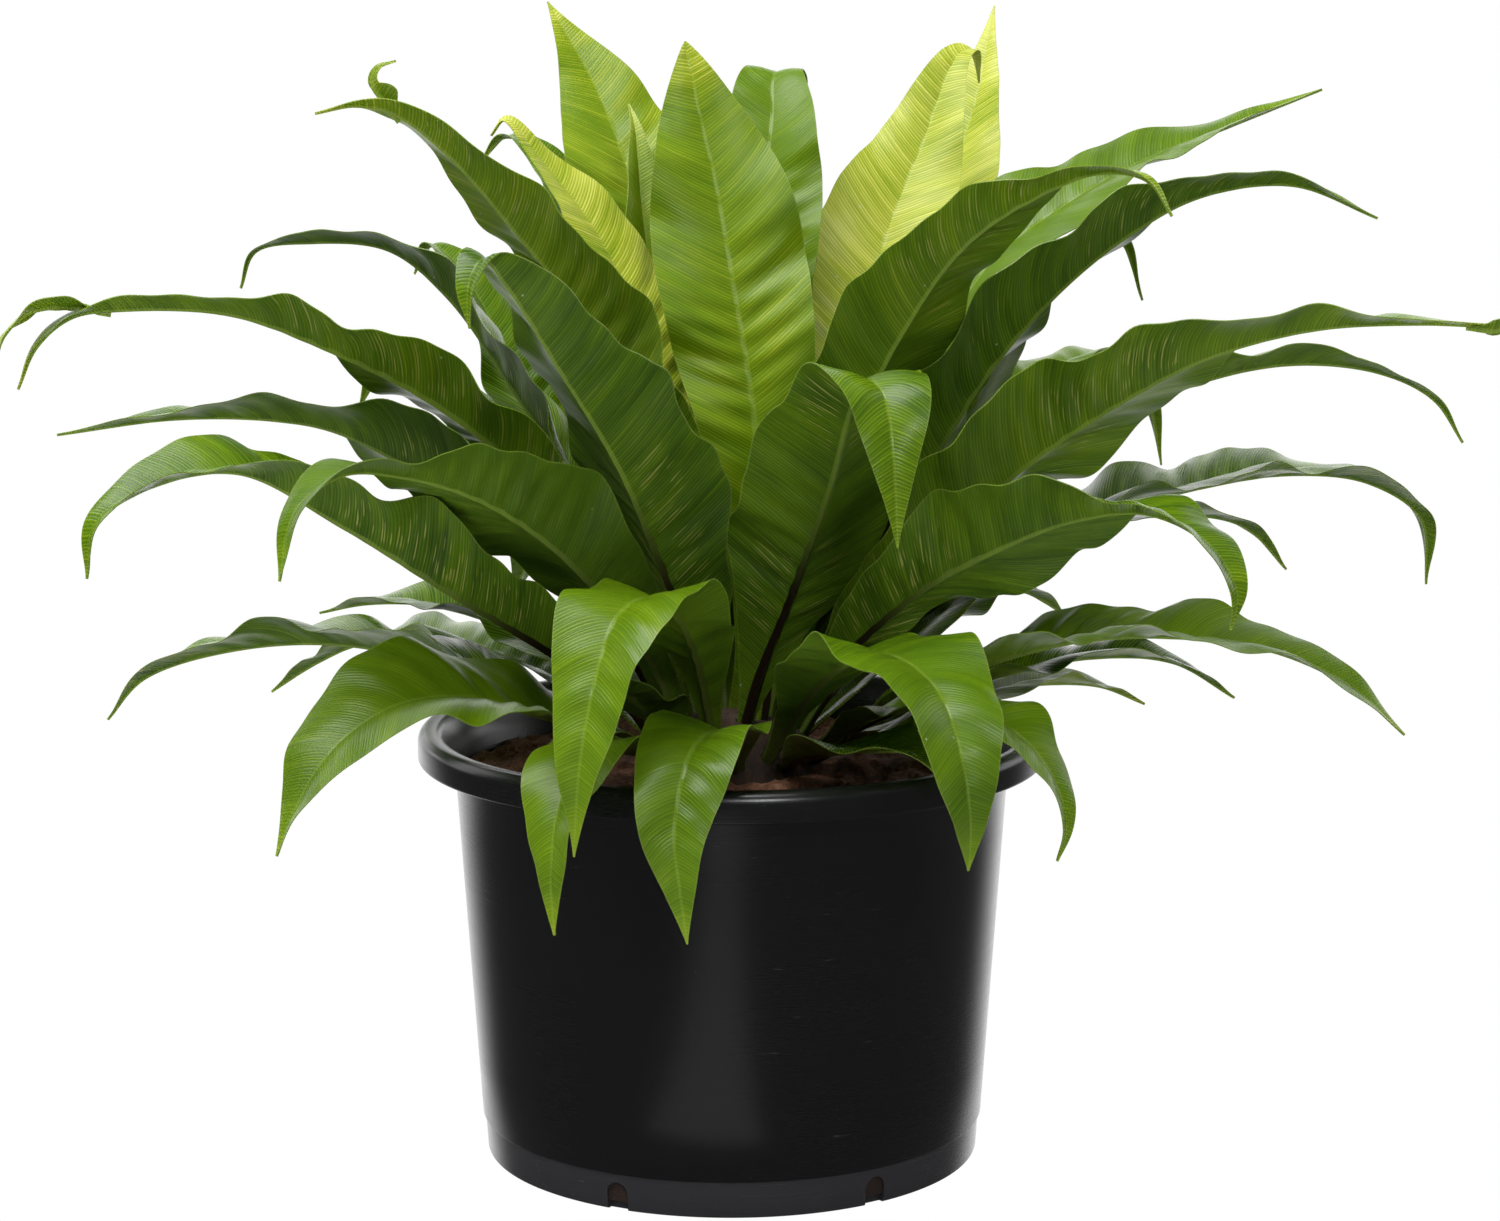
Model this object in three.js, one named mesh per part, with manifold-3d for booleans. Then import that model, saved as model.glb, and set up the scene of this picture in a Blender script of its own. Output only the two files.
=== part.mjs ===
// A bird's nest fern with waved fronds, growing in a squat black nursery pot.
// Millimetres, +Z up. The origin is the middle of the pot's underside.
import * as THREE from "three";
import { mergeVertices } from "three/addons/utils/BufferGeometryUtils.js";
import Module from "manifold-3d";

const wasm = await Module();
wasm.setup();

// Pot
const POT_SIDES = 40;
const BASE_R = 118.8;
const BASE_CHAMFER = 1.2;
const FOOT_H = 17.0; // the wall steps out above this foot band
const FOOT_R = 119.8;
const STEP_Z = 18.2;
const STEP_R = 121.0;
const WALL_TOP_R = 132.6;
const WALL_TOP_Z = 190.5;
const WALL_T = 2.2;
const FLOOR_T = 3.2;
const RIM_R = 150.0;
const RIM_LOW_Z = 191.7;
const RIM_TOP_Z = 206.3;
const RIM_INNER_R = 138.4;
const RIM_INNER_Z = 203.6;

// The rim's section after the wall: under the rim, its rolled lip, its sloping top
const RIM_SECTION = [
  [133.6, 193.0], [138.0, 195.6], [144.6, 195.2], [146.6, RIM_LOW_Z], [148.8, RIM_LOW_Z],
  [RIM_R, 194.0], [RIM_R, 200.2], [148.4, 204.4], [145.4, RIM_TOP_Z], [142.0, 206.0],
  [RIM_INNER_R, RIM_INNER_Z],
];

// Drain notches in the foot band
const NOTCHES = 6;
const NOTCH_PHASE = 34.0; // degrees from the pot's front to the first notch on the right
const NOTCH_W = 10.5;
const NOTCH_H = 13.5;
const NOTCH_FROM_R = 115.4;
const NOTCH_THROUGH = 9.0;
const NOTCH_ARC_STEPS = 5;

// Soil and crown
const FIT = 0.4; // gap between pieces that touch
const SOIL_WALL_Z = 184.0;
const SOIL_CROWN_Z = 187.0;
const SOIL_RINGS = 5;
const SOIL_LUMP = 2.2;
const LUMP_PITCH = 13.0;
const CROWN_R = 44.0;
const CROWN_LOW_Z = 172.0;
const CROWN_SIDE_Z = 183.0; // above this the crown is a dome
const CROWN_TOP_Z = 214.0;
const CROWN_SIDES = 28;
const DOME_STEPS = 5;
const CROWN_KNOB = 1.3;
const KNOB_PITCH = 7.0;

// Fronds
const STATION_STEP = 17.0; // along the midrib
const STIPE_HALF = 3.6; // half width where the frond leaves the crown
const STIPE_EDGE_T = 2.4;
const STIPE_RIB_T = 4.6;
const EDGE_T = 0.8;
const RIB_T = 1.8;
const STIPE_SHARE = 0.16; // of the length that is mostly stalk
const TIP_HALF = 0.9;
const WIDEST_AT = 0.46;
const TAPER = 1.15;
const TIP_STEP = 6.0;
const TIP_FOLD = 10;
const TIP_WIDEST_AT = 0.35;
const WAVE_LENGTH = 66.0;
const WAVE_HEIGHT = 5.0;
const RUFFLE_SHARE = 0.35; // height of a second, shorter wave
const RUFFLE_RATE = 1.7; // how many of it to one long wave
const RUFFLE_PHASE = 2.3;
const EDGE_PHASE = 2.1; // radians from one edge's waves to the other's
const GOLDEN = 2.399963; // radians, spreads the phases of the waves
const SOCKET_GAP = 0.35;
const SOCKET_REACH = 0.6; // how much deeper a socket is than its frond
const SOCKET_STATIONS = 5; // stations of a frond that its socket follows

// Colours and roughness
const POT_ROUGHNESS = 0.35;
const SOIL_ROUGHNESS = 0.95;
const CROWN_ROUGHNESS = 0.9;
const LEAF_ROUGHNESS = 0.4;
const POT_BLACK = 0x17181a;
const SOIL_BROWN = 0x5a3424;
const CROWN_BROWN = 0x2e2118;
const YOUNG = 0x9dbb3a;
const BRIGHT = 0x5f9a2a;
const DARK = 0x2f6325;

// Each frond: name, colour, heading in degrees from +X, full width, fold of each half
// in degrees, twist in degrees at even steps along it, and its midrib as points of
// [out from the pot's axis, height, sideways to the left of the heading].
const FRONDS = [
  // upright young fronds in the middle
  ["frond_top_centre", YOUNG, 95, 74, 10, [0, 0, 0],
    [[3, 202, 0], [5, 240, -8], [6, 285, -12], [9, 347, -12], [20, 413, -3], [33, 464, 5],
      [41, 492, 11], [48, 529, 18]], 0.68, 0.88],
  ["frond_top_behind", BRIGHT, 78, 66, 10, [0, 0, 0],
    [[15, 202, 4], [30, 255, 12], [50, 318, 15], [70, 385, 9], [90, 450, 4], [108, 489, 3],
      [126, 512, 5], [146, 505], [156, 480]], 0.6],
  ["frond_top_right", YOUNG, 55, 88, 12, [0, 25, 25, 20],
    [[9, 201, -3], [36, 265, -10], [84, 345, -6], [137, 425, 5], [174, 473, 6], [204, 519, 3],
      [214, 522], [221, 505]]],
  ["frond_top_right_behind", YOUNG, 62, 94, 10, [0, 0, 0],
    [[22, 198], [60, 264], [110, 329], [175, 394, -2], [230, 447, -3], [270, 495, -2], [296, 543]]],
  ["frond_top_left", YOUNG, 118, 78, 10, [0, -10, -10],
    [[19, 200], [42, 250, -3], [79, 315, -10], [115, 385, -18], [149, 453, -22], [180, 502, -17],
      [208, 546, -3]], 0.66],
  ["frond_top_left_yellow", YOUNG, 158, 64, 12, [0, -20, -20],
    [[8, 202], [10, 245, -2], [22, 302, -8], [39, 359, -12], [58, 406, -15], [79, 442, -16],
      [105, 474, -13], [122, 492, -11], [130, 484, -11]]],
  ["frond_top_rolled", BRIGHT, 118, 66, 34, [0, 0, 0],
    [[12, 202, 3], [26, 248, 1], [55, 325, 1], [77, 396, 1], [94, 446, 0], [110, 486, -4],
      [118, 497, -5]]],
  ["frond_top_back", DARK, 128, 66, 12, [0, 0, 0],
    [[25, 198, -5], [50, 245, -10], [99, 318, -28], [150, 388, -39], [188, 442, -42],
      [216, 470, -39], [238, 476, -34], [252, 462, -28]]],

  // left
  ["frond_left_1", DARK, 200, 74, 14, [0, 20, 25, 20],
    [[12, 200], [18, 240], [42, 331], [76, 408], [106, 446], [135, 479], [161, 499], [179, 503],
      [198, 500]]],
  ["frond_left_2", DARK, 168, 66, 14, [0, 10, 20, 0],
    [[18, 200], [30, 240], [64, 303], [103, 361], [137, 408], [167, 431], [207, 434], [235, 429],
      [243, 411]]],
  ["frond_left_3", DARK, 194, 52, 20, [0, 10, 36, 15, 0],
    [[23, 198], [34, 232], [59, 282], [101, 332], [143, 366], [193, 393], [235, 409], [283, 412],
      [306, 409], [322, 396], [331, 377]]],
  ["frond_left_4", DARK, 185, 84, 14, [5, 25, 30, 10, 0],
    [[28, 197], [40, 228], [64, 264], [102, 298], [141, 326], [185, 350], [214, 356], [260, 357],
      [315, 350]]],
  ["frond_left_5", DARK, 206, 72, 28, [5, 14, 20, -10, -20],
    [[33, 193], [56, 223], [95, 250], [143, 281], [195, 316], [243, 343], [284, 339], [309, 324],
      [314, 300]]],
  ["frond_left_6", BRIGHT, 222, 78, 14, [0, 18, 38, 10, 0],
    [[25, 198, -2], [37, 232, -8], [58, 262, -11], [105, 303, -6], [151, 330, -1], [195, 345],
      [227, 348], [251, 334], [260, 305]]],
  ["frond_left_7", DARK, 172, 84, 14, [0, 10, 10, 0],
    [[37, 192], [84, 212], [129, 229], [189, 241], [244, 237], [291, 221], [310, 200]]],
  ["frond_left_8", BRIGHT, 215, 82, 14, [0, -14, -16, 0],
    [[36, 192, 5], [64, 207, 4], [108, 224, 2], [150, 237], [187, 236], [217, 220], [236, 196],
      [246, 176]]],
  ["frond_left_9", DARK, 235, 88, 26, [0, 0, 0],
    [[14, 200], [24, 235, 1], [51, 274, 4], [65, 299, 3], [88, 339, 1], [131, 389], [166, 427],
      [184, 441], [194, 430], [194, 412]]],

  // right
  ["frond_right_1", DARK, -30, 70, 14, [0, -30, -30, 0],
    [[14, 200], [22, 240], [37, 289], [64, 350], [90, 398], [120, 438], [155, 462], [189, 475],
      [212, 472], [224, 457]]],
  ["frond_right_2", BRIGHT, 18, 84, 14, [0, 15, 15, 0],
    [[14, 201, -4], [24, 240, -5], [60, 308, 3], [102, 378, 7], [135, 425, 6], [176, 455], [213, 473],
      [250, 486], [304, 505]]],
  ["frond_right_3", DARK, -4, 80, 18, [0, -25, -25, 0],
    [[20, 200, -3], [31, 238, -2], [62, 287], [95, 336], [122, 379], [154, 416], [187, 443],
      [219, 460], [261, 465], [300, 450]]],
  ["frond_right_4", DARK, -22, 84, 14, [-10, -28, -35, -15, 0],
    [[26, 198, -1], [39, 228], [66, 262], [106, 302], [146, 339], [190, 370], [232, 393], [280, 407],
      [326, 411], [350, 411], [366, 411]]],
  ["frond_right_5", DARK, 2, 64, 14, [-5, -20, -20, 0],
    [[29, 196], [45, 221, 3], [72, 256, 7], [120, 302, 9], [169, 344, 4], [217, 369], [264, 379],
      [307, 375], [334, 362], [349, 341]]],
  ["frond_right_6", DARK, -42, 76, 14, [0, -20, -42, -10, 0],
    [[26, 196], [42, 220], [74, 251], [116, 284], [162, 309], [206, 327], [243, 333], [274, 323],
      [289, 304], [287, 287]], 0.58],
  ["frond_right_7", DARK, 22, 84, 14, [0, -10, 0, 0],
    [[32, 195], [50, 218], [88, 246], [147, 279], [201, 298], [252, 308], [303, 312], [350, 305],
      [382, 284], [386, 250]]],
  ["frond_right_8", BRIGHT, -10, 74, 14, [0, -5, 5, 15],
    [[37, 193, 2], [72, 217, 1], [119, 239], [166, 253], [213, 256], [259, 250], [292, 235],
      [318, 213]]],
  ["frond_right_9", DARK, 11, 60, 14, [0, 0, 0],
    [[38, 193], [83, 211], [133, 226], [179, 233], [220, 229], [252, 210]]],
  ["frond_right_10", YOUNG, 25, 50, 14, [0, 0, 0],
    [[40, 192, -2], [85, 202, -6], [130, 212, -12], [152, 214, -8], [176, 213, -4], [205, 208],
      [230, 197]]],

  // front
  ["frond_front_1", DARK, -72, 82, 12, [0, 0, 0],
    [[13, 202, 0], [25, 232, 5], [46, 274, 14], [78, 330, 22], [111, 370, 20], [133, 386, 19],
      [155, 381, 20], [166, 359, 20], [168, 316, 22]], 0.42],
  ["frond_front_2", BRIGHT, -62, 70, 12, [0, 0, 0],
    [[34, 194], [68, 226], [115, 255, -4], [168, 268, -8], [214, 259, -12], [235, 236, -14],
      [239, 211, -12], [225, 184, -4]]],
  ["frond_front_3", BRIGHT, -35, 52, 12, [0, 0, 0],
    [[37, 193, -1], [73, 217, -2], [113, 230, -12], [150, 232, -22], [177, 226, -26], [195, 208, -27],
      [201, 188, -27], [197, 172, -27]]],
  ["frond_front_4", BRIGHT, -96, 52, 12, [0, 0, 0],
    [[37, 193, 6], [59, 208, 9], [95, 222, 9], [131, 228, 2], [159, 220, -3], [174, 193, -6],
      [177, 168, -3], [177, 145, 0]]],
  ["frond_front_5", BRIGHT, -128, 48, 12, [0, 0, 0],
    [[38, 193, 8], [65, 204, 16], [104, 214, 23], [138, 222, 29], [166, 206, 36], [179, 179, 41],
      [180, 147, 43]]],
  ["frond_front_6", BRIGHT, -112, 58, 12, [0, 0, 0],
    [[28, 196, 4], [44, 227, 5], [66, 254, 8], [95, 277, 11], [127, 289, 11], [157, 283, 9],
      [176, 255, 7], [186, 222, 5], [188, 184, 3]]],
  ["frond_front_7", DARK, -122, 44, 14, [0, 0, 0],
    [[32, 195, -6], [54, 213, -5], [80, 232, -2], [106, 243, 0], [126, 243], [144, 232]]],
  ["frond_front_8", DARK, -50, 54, 14, [0, 0, 0],
    [[40, 193, -1], [60, 201, -7], [88, 209, -12], [121, 216, -16], [147, 219, -17], [164, 213, -18]]],
  ["frond_front_9", DARK, -22, 46, 14, [0, 0, 0],
    [[39, 193], [60, 201, -1], [85, 207], [110, 213], [130, 217], [148, 217]]],

  // back
  ["frond_back_1", DARK, 138, 66, 14, [0, 0, 0],
    [[29, 197, 1], [52, 230, 1], [88, 280], [124, 334], [158, 384], [186, 416], [206, 425], [218, 410]]],
  ["frond_back_2", DARK, 142, 70, 14, [0, 0, 0],
    [[35, 195], [52, 217], [84, 250], [120, 292], [160, 335], [200, 361], [228, 360], [244, 340]]],
  ["frond_back_3", DARK, 154, 66, 14, [0, 0, 0],
    [[35, 193, 3], [75, 221, 2], [120, 243], [165, 252], [203, 250], [232, 243]]],
  ["frond_back_4", DARK, 138, 56, 14, [0, 0, 0],
    [[40, 193, -3], [90, 206, -1], [150, 220], [210, 224], [265, 213], [300, 198], [336, 178]]],
  ["frond_back_5", BRIGHT, 30, 48, 14, [0, 0, 0],
    [[23, 198], [48, 238], [88, 289, -3], [132, 348, -3], [172, 402], [201, 430], [223, 430], [238, 399]]],
  ["frond_back_6", BRIGHT, 42, 50, 14, [0, 0, 0],
    [[28, 196], [50, 226], [92, 272], [150, 322], [208, 358], [258, 364], [292, 342], [305, 304]]],
  ["frond_back_7", DARK, 32, 66, 14, [0, 0, 0],
    [[35, 193, 3], [90, 228, 2], [150, 264], [210, 284], [270, 287], [314, 277], [343, 252]]],
  ["frond_back_8", DARK, 48, 64, 14, [0, 0, 0],
    [[37, 193, 3], [80, 213, 2], [130, 234], [180, 245], [225, 243], [262, 226]]],
  ["frond_back_9", DARK, 86, 74, 14, [0, 0, 0],
    [[26, 197], [52, 232], [94, 278], [140, 322], [190, 357], [235, 366], [270, 348]]],
  ["frond_back_10", DARK, 70, 74, 14, [0, 0, 0],
    [[31, 195], [54, 220], [98, 254], [150, 284], [205, 297], [255, 288], [290, 260]]],
  ["frond_back_11", DARK, 114, 76, 14, [0, 0, 0],
    [[33, 193], [55, 218], [100, 248], [155, 268], [210, 272], [260, 255], [300, 222]]],
  ["frond_back_12", BRIGHT, 92, 66, 14, [0, 0, 0],
    [[38, 193], [90, 209], [140, 226], [185, 229], [225, 209], [245, 174]]],
];

// Second tips, grown from a blade near its end: the frond, then heading, width and path as above.
const SECOND_TIPS = [
  ["frond_left_1", 200, 8, [[158, 496], [166, 506, -2], [170, 513, -3], [167, 519, -2], [160, 522]]],
  ["frond_left_3", 194, 13, [[288, 411], [309, 414], [325, 412], [336, 402], [342, 386]]],
  ["frond_right_4", -22, 13, [[346, 411], [359, 410], [368, 415], [370, 424], [364, 437]]],
];

// A frond's midrib as a smooth curve in the part's own frame.
function midrib(heading, path) {
  const a = THREE.MathUtils.degToRad(heading);
  const points = path.map(
    ([out, up, side = 0]) =>
      new THREE.Vector3(
        out * Math.cos(a) - side * Math.sin(a),
        out * Math.sin(a) + side * Math.cos(a),
        up,
      ),
  );
  return new THREE.CatmullRomCurve3(points, false, "centripetal");
}

// Smoothly between the values of a list that stand at even steps from 0 to 1.
function along(list, u) {
  const place = u * (list.length - 1);
  const k = Math.min(Math.floor(place), list.length - 2);
  const s = place - k;
  return list[k] + (list[k + 1] - list[k]) * s * s * (3 - 2 * s);
}

// Half the blade's width: a stalk, a long swelling and a drawn-out tip.
function halfWidth([width, widest, taper], u) {
  if (u < widest) {
    const s = u / widest;
    return STIPE_HALF + (width / 2 - STIPE_HALF) * s * s * (3 - 2 * s);
  }
  const s = (u - widest) / (1 - widest);
  return TIP_HALF + (width / 2 - TIP_HALF) * Math.cos((s * Math.PI) / 2) ** taper;
}

// How far an edge rises off the blade in its waves.
function wave(form, length, u, phase) {
  const turns = (2 * Math.PI * u * length) / WAVE_LENGTH;
  const share = Math.min(1, (2 * halfWidth(form, u)) / form[0]) * Math.min(1, u / STIPE_SHARE);
  return WAVE_HEIGHT * share * (Math.sin(turns + phase)
    + RUFFLE_SHARE * Math.sin(RUFFLE_RATE * turns + RUFFLE_PHASE * phase));
}

// The rings of a frond: left edge, rib and right edge above, and the same below.
function frondRings(frond, number, { grow = 0, step = STATION_STEP, stalked = 1 } = {}) {
  const [, , heading, width, fold, twists, path, widest = WIDEST_AT, taper = TAPER] = frond;
  const form = [width, widest, taper];
  const curve = midrib(heading, path);
  const length = curve.getLength();
  const stations = Math.round(length / step) + 1;
  const a = THREE.MathUtils.degToRad(heading);
  const level = new THREE.Vector3(-Math.sin(a), Math.cos(a), 0);
  const rings = [];
  const used = grow ? SOCKET_STATIONS : stations;
  for (let k = 0; k < used; k++) {
    const u = k / (stations - 1);
    const centre = curve.getPointAt(u);
    const tangent = curve.getTangentAt(u);
    const flat = level.clone().addScaledVector(tangent, -level.dot(tangent)).normalize();
    const up = tangent.clone().cross(flat);
    const t = THREE.MathUtils.degToRad(along(twists, u));
    const side = flat.clone().multiplyScalar(Math.cos(t)).addScaledVector(up, Math.sin(t));
    const normal = up.clone().multiplyScalar(Math.cos(t)).addScaledVector(flat, -Math.sin(t));
    const half = halfWidth(form, u) + grow;
    const rise = THREE.MathUtils.degToRad(fold);
    const stalk = stalked * Math.max(0, 1 - u / STIPE_SHARE);
    const edge = EDGE_T + (STIPE_EDGE_T - EDGE_T) * stalk + 2 * grow;
    const rib = RIB_T + (STIPE_RIB_T - RIB_T) * stalk - (RIB_T - EDGE_T) * u + 2 * grow;
    const at = (across, lift) =>
      centre.clone().addScaledVector(side, across).addScaledVector(normal, lift + grow);
    const phase = GOLDEN * number;
    const leftLift = half * Math.sin(rise) + wave(form, length, u, phase);
    const rightLift = half * Math.sin(rise) + wave(form, length, u, phase + EDGE_PHASE);
    const across = half * Math.cos(rise);
    if (grow && k === 0) centre.addScaledVector(tangent, -SOCKET_REACH);
    rings.push([
      at(across, leftLift), at(0, 0), at(-across, rightLift),
      at(-across, rightLift - edge), at(0, -rib), at(across, leftLift - edge),
    ]);
  }
  return rings;
}

// A closed skin over rings of equal count, with each quad cut the same way above and below.
function skin(rings) {
  const count = rings[0].length;
  const position = rings.flat().flatMap((p) => [p.x, p.y, p.z]);
  const index = [];
  for (let k = 0; k + 1 < rings.length; k++) {
    for (let i = 0; i < count; i++) {
      const j = (i + 1) % count;
      const [a, b, c, d] = [k * count + i, k * count + j, (k + 1) * count + j, (k + 1) * count + i];
      if (i < count / 2) index.push(a, b, c, a, c, d);
      else index.push(a, b, d, b, c, d);
    }
  }
  const last = (rings.length - 1) * count;
  for (let i = 0; i < count / 2 - 1; i++) {
    const j = count - 1 - i;
    index.push(i, j, i + 1, i + 1, j, j - 1);
    index.push(last + i, last + i + 1, last + j, last + i + 1, last + j - 1, last + j);
  }
  const geometry = new THREE.BufferGeometry();
  geometry.setAttribute("position", new THREE.Float32BufferAttribute(position, 3));
  geometry.setIndex(index);
  return geometry;
}

function solidOf(geometry) {
  const bare = geometry.clone();
  bare.deleteAttribute("normal");
  bare.deleteAttribute("uv");
  const merged = mergeVertices(bare, 1e-3);
  return new wasm.Manifold(new wasm.Mesh({
    numProp: 3,
    vertProperties: merged.attributes.position.array,
    triVerts: new Uint32Array(merged.index.array),
  }));
}

function geometryOf(solid) {
  const mesh = solid.getMesh();
  const geometry = new THREE.BufferGeometry();
  geometry.setAttribute("position", new THREE.BufferAttribute(mesh.vertProperties, 3));
  geometry.setIndex(new THREE.BufferAttribute(mesh.triVerts, 1));
  return geometry;
}

// A profile of [radius, height] turned about the pot's axis.
function turned(profile, sides) {
  const points = profile.map(([r, z]) => new THREE.Vector2(r, z));
  const geometry = new THREE.LatheGeometry(points, sides);
  return geometry.rotateX(Math.PI / 2);
}

// The inside radius of the pot's wall at a height.
function wallInside(z) {
  const share = (z - STEP_Z) / (WALL_TOP_Z - STEP_Z);
  return STEP_R - WALL_T + (WALL_TOP_R - STEP_R) * share;
}

function notchCutter(angle) {
  const r = NOTCH_W / 2;
  const shape = new THREE.Shape();
  shape.moveTo(-r, -BASE_CHAMFER);
  shape.lineTo(r, -BASE_CHAMFER);
  shape.lineTo(r, NOTCH_H - r);
  shape.absarc(0, NOTCH_H - r, r, 0, Math.PI, false);
  const geometry = new THREE.ExtrudeGeometry(shape, {
    depth: NOTCH_THROUGH, bevelEnabled: false, curveSegments: NOTCH_ARC_STEPS,
  });
  const out = new THREE.Vector3(Math.cos(angle), Math.sin(angle), 0);
  const tangent = new THREE.Vector3(-Math.sin(angle), Math.cos(angle), 0);
  const place = new THREE.Matrix4().makeBasis(tangent, new THREE.Vector3(0, 0, 1), out);
  place.setPosition(out.clone().multiplyScalar(NOTCH_FROM_R));
  return geometry.applyMatrix4(place);
}

function potGeometry() {
  const profile = [
    [0, 0], [BASE_R - BASE_CHAMFER, 0], [BASE_R, BASE_CHAMFER], [FOOT_R, FOOT_H],
    [STEP_R, STEP_Z], [WALL_TOP_R, WALL_TOP_Z], ...RIM_SECTION,
    [wallInside(WALL_TOP_Z), WALL_TOP_Z], [wallInside(STEP_Z), STEP_Z],
    [wallInside(FLOOR_T), FLOOR_T], [0, FLOOR_T],
  ];
  let pot = solidOf(turned(profile, POT_SIDES));
  for (let k = 0; k < NOTCHES; k++) {
    const angle = THREE.MathUtils.degToRad(NOTCH_PHASE - 90 + (360 / NOTCHES) * k);
    pot = pot.subtract(solidOf(notchCutter(angle)));
  }
  return geometryOf(pot);
}

// Small uneven lumps over a surface, between -1 and 1.
function lumps(x, y, pitch) {
  const a = x / pitch;
  const b = y / pitch;
  return (Math.sin(2.1 * a + 1.3 * Math.sin(1.7 * b)) + Math.sin(2.6 * b + 1.9 * Math.sin(1.3 * a))) / 2;
}

function soilGeometry() {
  const outer = wallInside(SOIL_WALL_Z) - FIT;
  const hole = CROWN_R + FIT;
  const profile = [
    [0, FLOOR_T + FIT], [wallInside(FLOOR_T) - FIT, FLOOR_T + FIT], [outer, SOIL_WALL_Z],
  ];
  for (let k = 1; k <= SOIL_RINGS; k++) {
    const share = k / (SOIL_RINGS + 1);
    profile.push([outer + (hole - outer) * share, SOIL_WALL_Z + (SOIL_CROWN_Z - SOIL_WALL_Z) * share]);
  }
  profile.push([hole, SOIL_CROWN_Z], [hole, CROWN_LOW_Z - FIT], [0, CROWN_LOW_Z - FIT]);
  const geometry = turned(profile, POT_SIDES);
  const p = geometry.attributes.position;
  for (let i = 0; i < p.count; i++) {
    const r = Math.hypot(p.getX(i), p.getY(i));
    if (p.getZ(i) < SOIL_WALL_Z + FIT || r < hole + FIT) continue;
    p.setZ(i, p.getZ(i) + SOIL_LUMP * lumps(p.getX(i), p.getY(i), LUMP_PITCH));
  }
  return geometry;
}

// The knobbly dome of old frond bases, with a socket for each frond.
function crownGeometry() {
  const profile = [[0, CROWN_LOW_Z], [CROWN_R, CROWN_LOW_Z]];
  for (let k = 0; k <= DOME_STEPS; k++) {
    const a = (k / DOME_STEPS) * (Math.PI / 2);
    profile.push([
      k === DOME_STEPS ? 0 : CROWN_R * Math.cos(a),
      CROWN_SIDE_Z + (CROWN_TOP_Z - CROWN_SIDE_Z) * Math.sin(a),
    ]);
  }
  const geometry = turned(profile, CROWN_SIDES);
  const p = geometry.attributes.position;
  for (let i = 0; i < p.count; i++) {
    if (p.getZ(i) <= SOIL_CROWN_Z) continue;
    p.setZ(i, p.getZ(i) + CROWN_KNOB * lumps(p.getX(i), p.getY(i), KNOB_PITCH));
  }
  let crown = solidOf(geometry);
  FRONDS.forEach((frond, number) => {
    crown = crown.subtract(solidOf(skin(frondRings(frond, number, { grow: SOCKET_GAP }))));
  });
  const bodies = crown.decompose().sort((a, b) => b.volume() - a.volume());
  return geometryOf(bodies[0]);
}

// A whole frond, with its second tip joined on where it has one.
function frondGeometry(frond, number) {
  const blade = skin(frondRings(frond, number));
  const tip = SECOND_TIPS.find(([name]) => name === frond[0]);
  if (!tip) return blade;
  const [, heading, width, path] = tip;
  const rings = frondRings([tip[0], frond[1], heading, width, TIP_FOLD, [0, 0], path, TIP_WIDEST_AT],
    number, { step: TIP_STEP, stalked: 0 });
  return geometryOf(solidOf(blade).add(solidOf(skin(rings))));
}

const plant = new THREE.Group();

function addMesh(name, geometry, color, roughness) {
  const material = new THREE.MeshStandardMaterial({ color, roughness, metalness: 0 });
  const shown = geometry.clone();
  shown.computeVertexNormals();
  const mesh = new THREE.Mesh(shown, material);
  mesh.name = name;
  plant.add(mesh);
}

addMesh("pot", potGeometry(), POT_BLACK, POT_ROUGHNESS);
addMesh("soil", soilGeometry(), SOIL_BROWN, SOIL_ROUGHNESS);
addMesh("crown", crownGeometry(), CROWN_BROWN, CROWN_ROUGHNESS);
FRONDS.forEach((frond, number) => {
  addMesh(frond[0], frondGeometry(frond, number), frond[1], LEAF_ROUGHNESS);
});

export default plant;
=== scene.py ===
# %% [markdown]
# A bird's nest fern in a black nursery pot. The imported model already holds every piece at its
# real size: the pot, the soil, the crown and one solid for each frond. This lesson dresses
# those pieces. Each frond gets a fine waved blade with a midrib, the soil gets crumbs and
# fibres, the pot gets a smooth turned wall, and each surface gets a finish made of nodes.

import math

import bpy
import numpy as np
from mathutils import Matrix, Vector, noise


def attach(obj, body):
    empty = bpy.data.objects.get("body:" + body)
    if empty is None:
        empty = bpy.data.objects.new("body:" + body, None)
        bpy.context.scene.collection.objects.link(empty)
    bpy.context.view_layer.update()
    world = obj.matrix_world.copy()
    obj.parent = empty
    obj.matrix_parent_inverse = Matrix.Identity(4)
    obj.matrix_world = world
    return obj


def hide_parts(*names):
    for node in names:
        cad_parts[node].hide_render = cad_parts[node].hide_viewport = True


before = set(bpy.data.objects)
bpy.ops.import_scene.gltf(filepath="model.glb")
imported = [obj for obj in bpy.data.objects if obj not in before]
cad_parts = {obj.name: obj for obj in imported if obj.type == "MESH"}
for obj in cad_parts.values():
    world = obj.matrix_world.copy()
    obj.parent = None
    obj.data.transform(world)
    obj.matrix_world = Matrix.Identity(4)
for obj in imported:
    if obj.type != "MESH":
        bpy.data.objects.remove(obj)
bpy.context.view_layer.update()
MM = 0.001
SEED = 41

# %% [markdown]
# The camera comes first. The photograph looks slightly down on the plant from about 1.7 m.
# A long lens keeps the pot's sides nearly straight, so the lens is set from the photograph's
# width in pixels and the focal length in pixels that fits the pot's rim and foot.

# %% Camera
PHOTO_WIDTH_PX = 1500
FOCAL_PX = 3712
CAMERA_PLACE = (8.8 * MM, -1743 * MM, 569 * MM)
CAMERA_PITCH_DEG = 80.0
SENSOR_MM = 36.0


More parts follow.
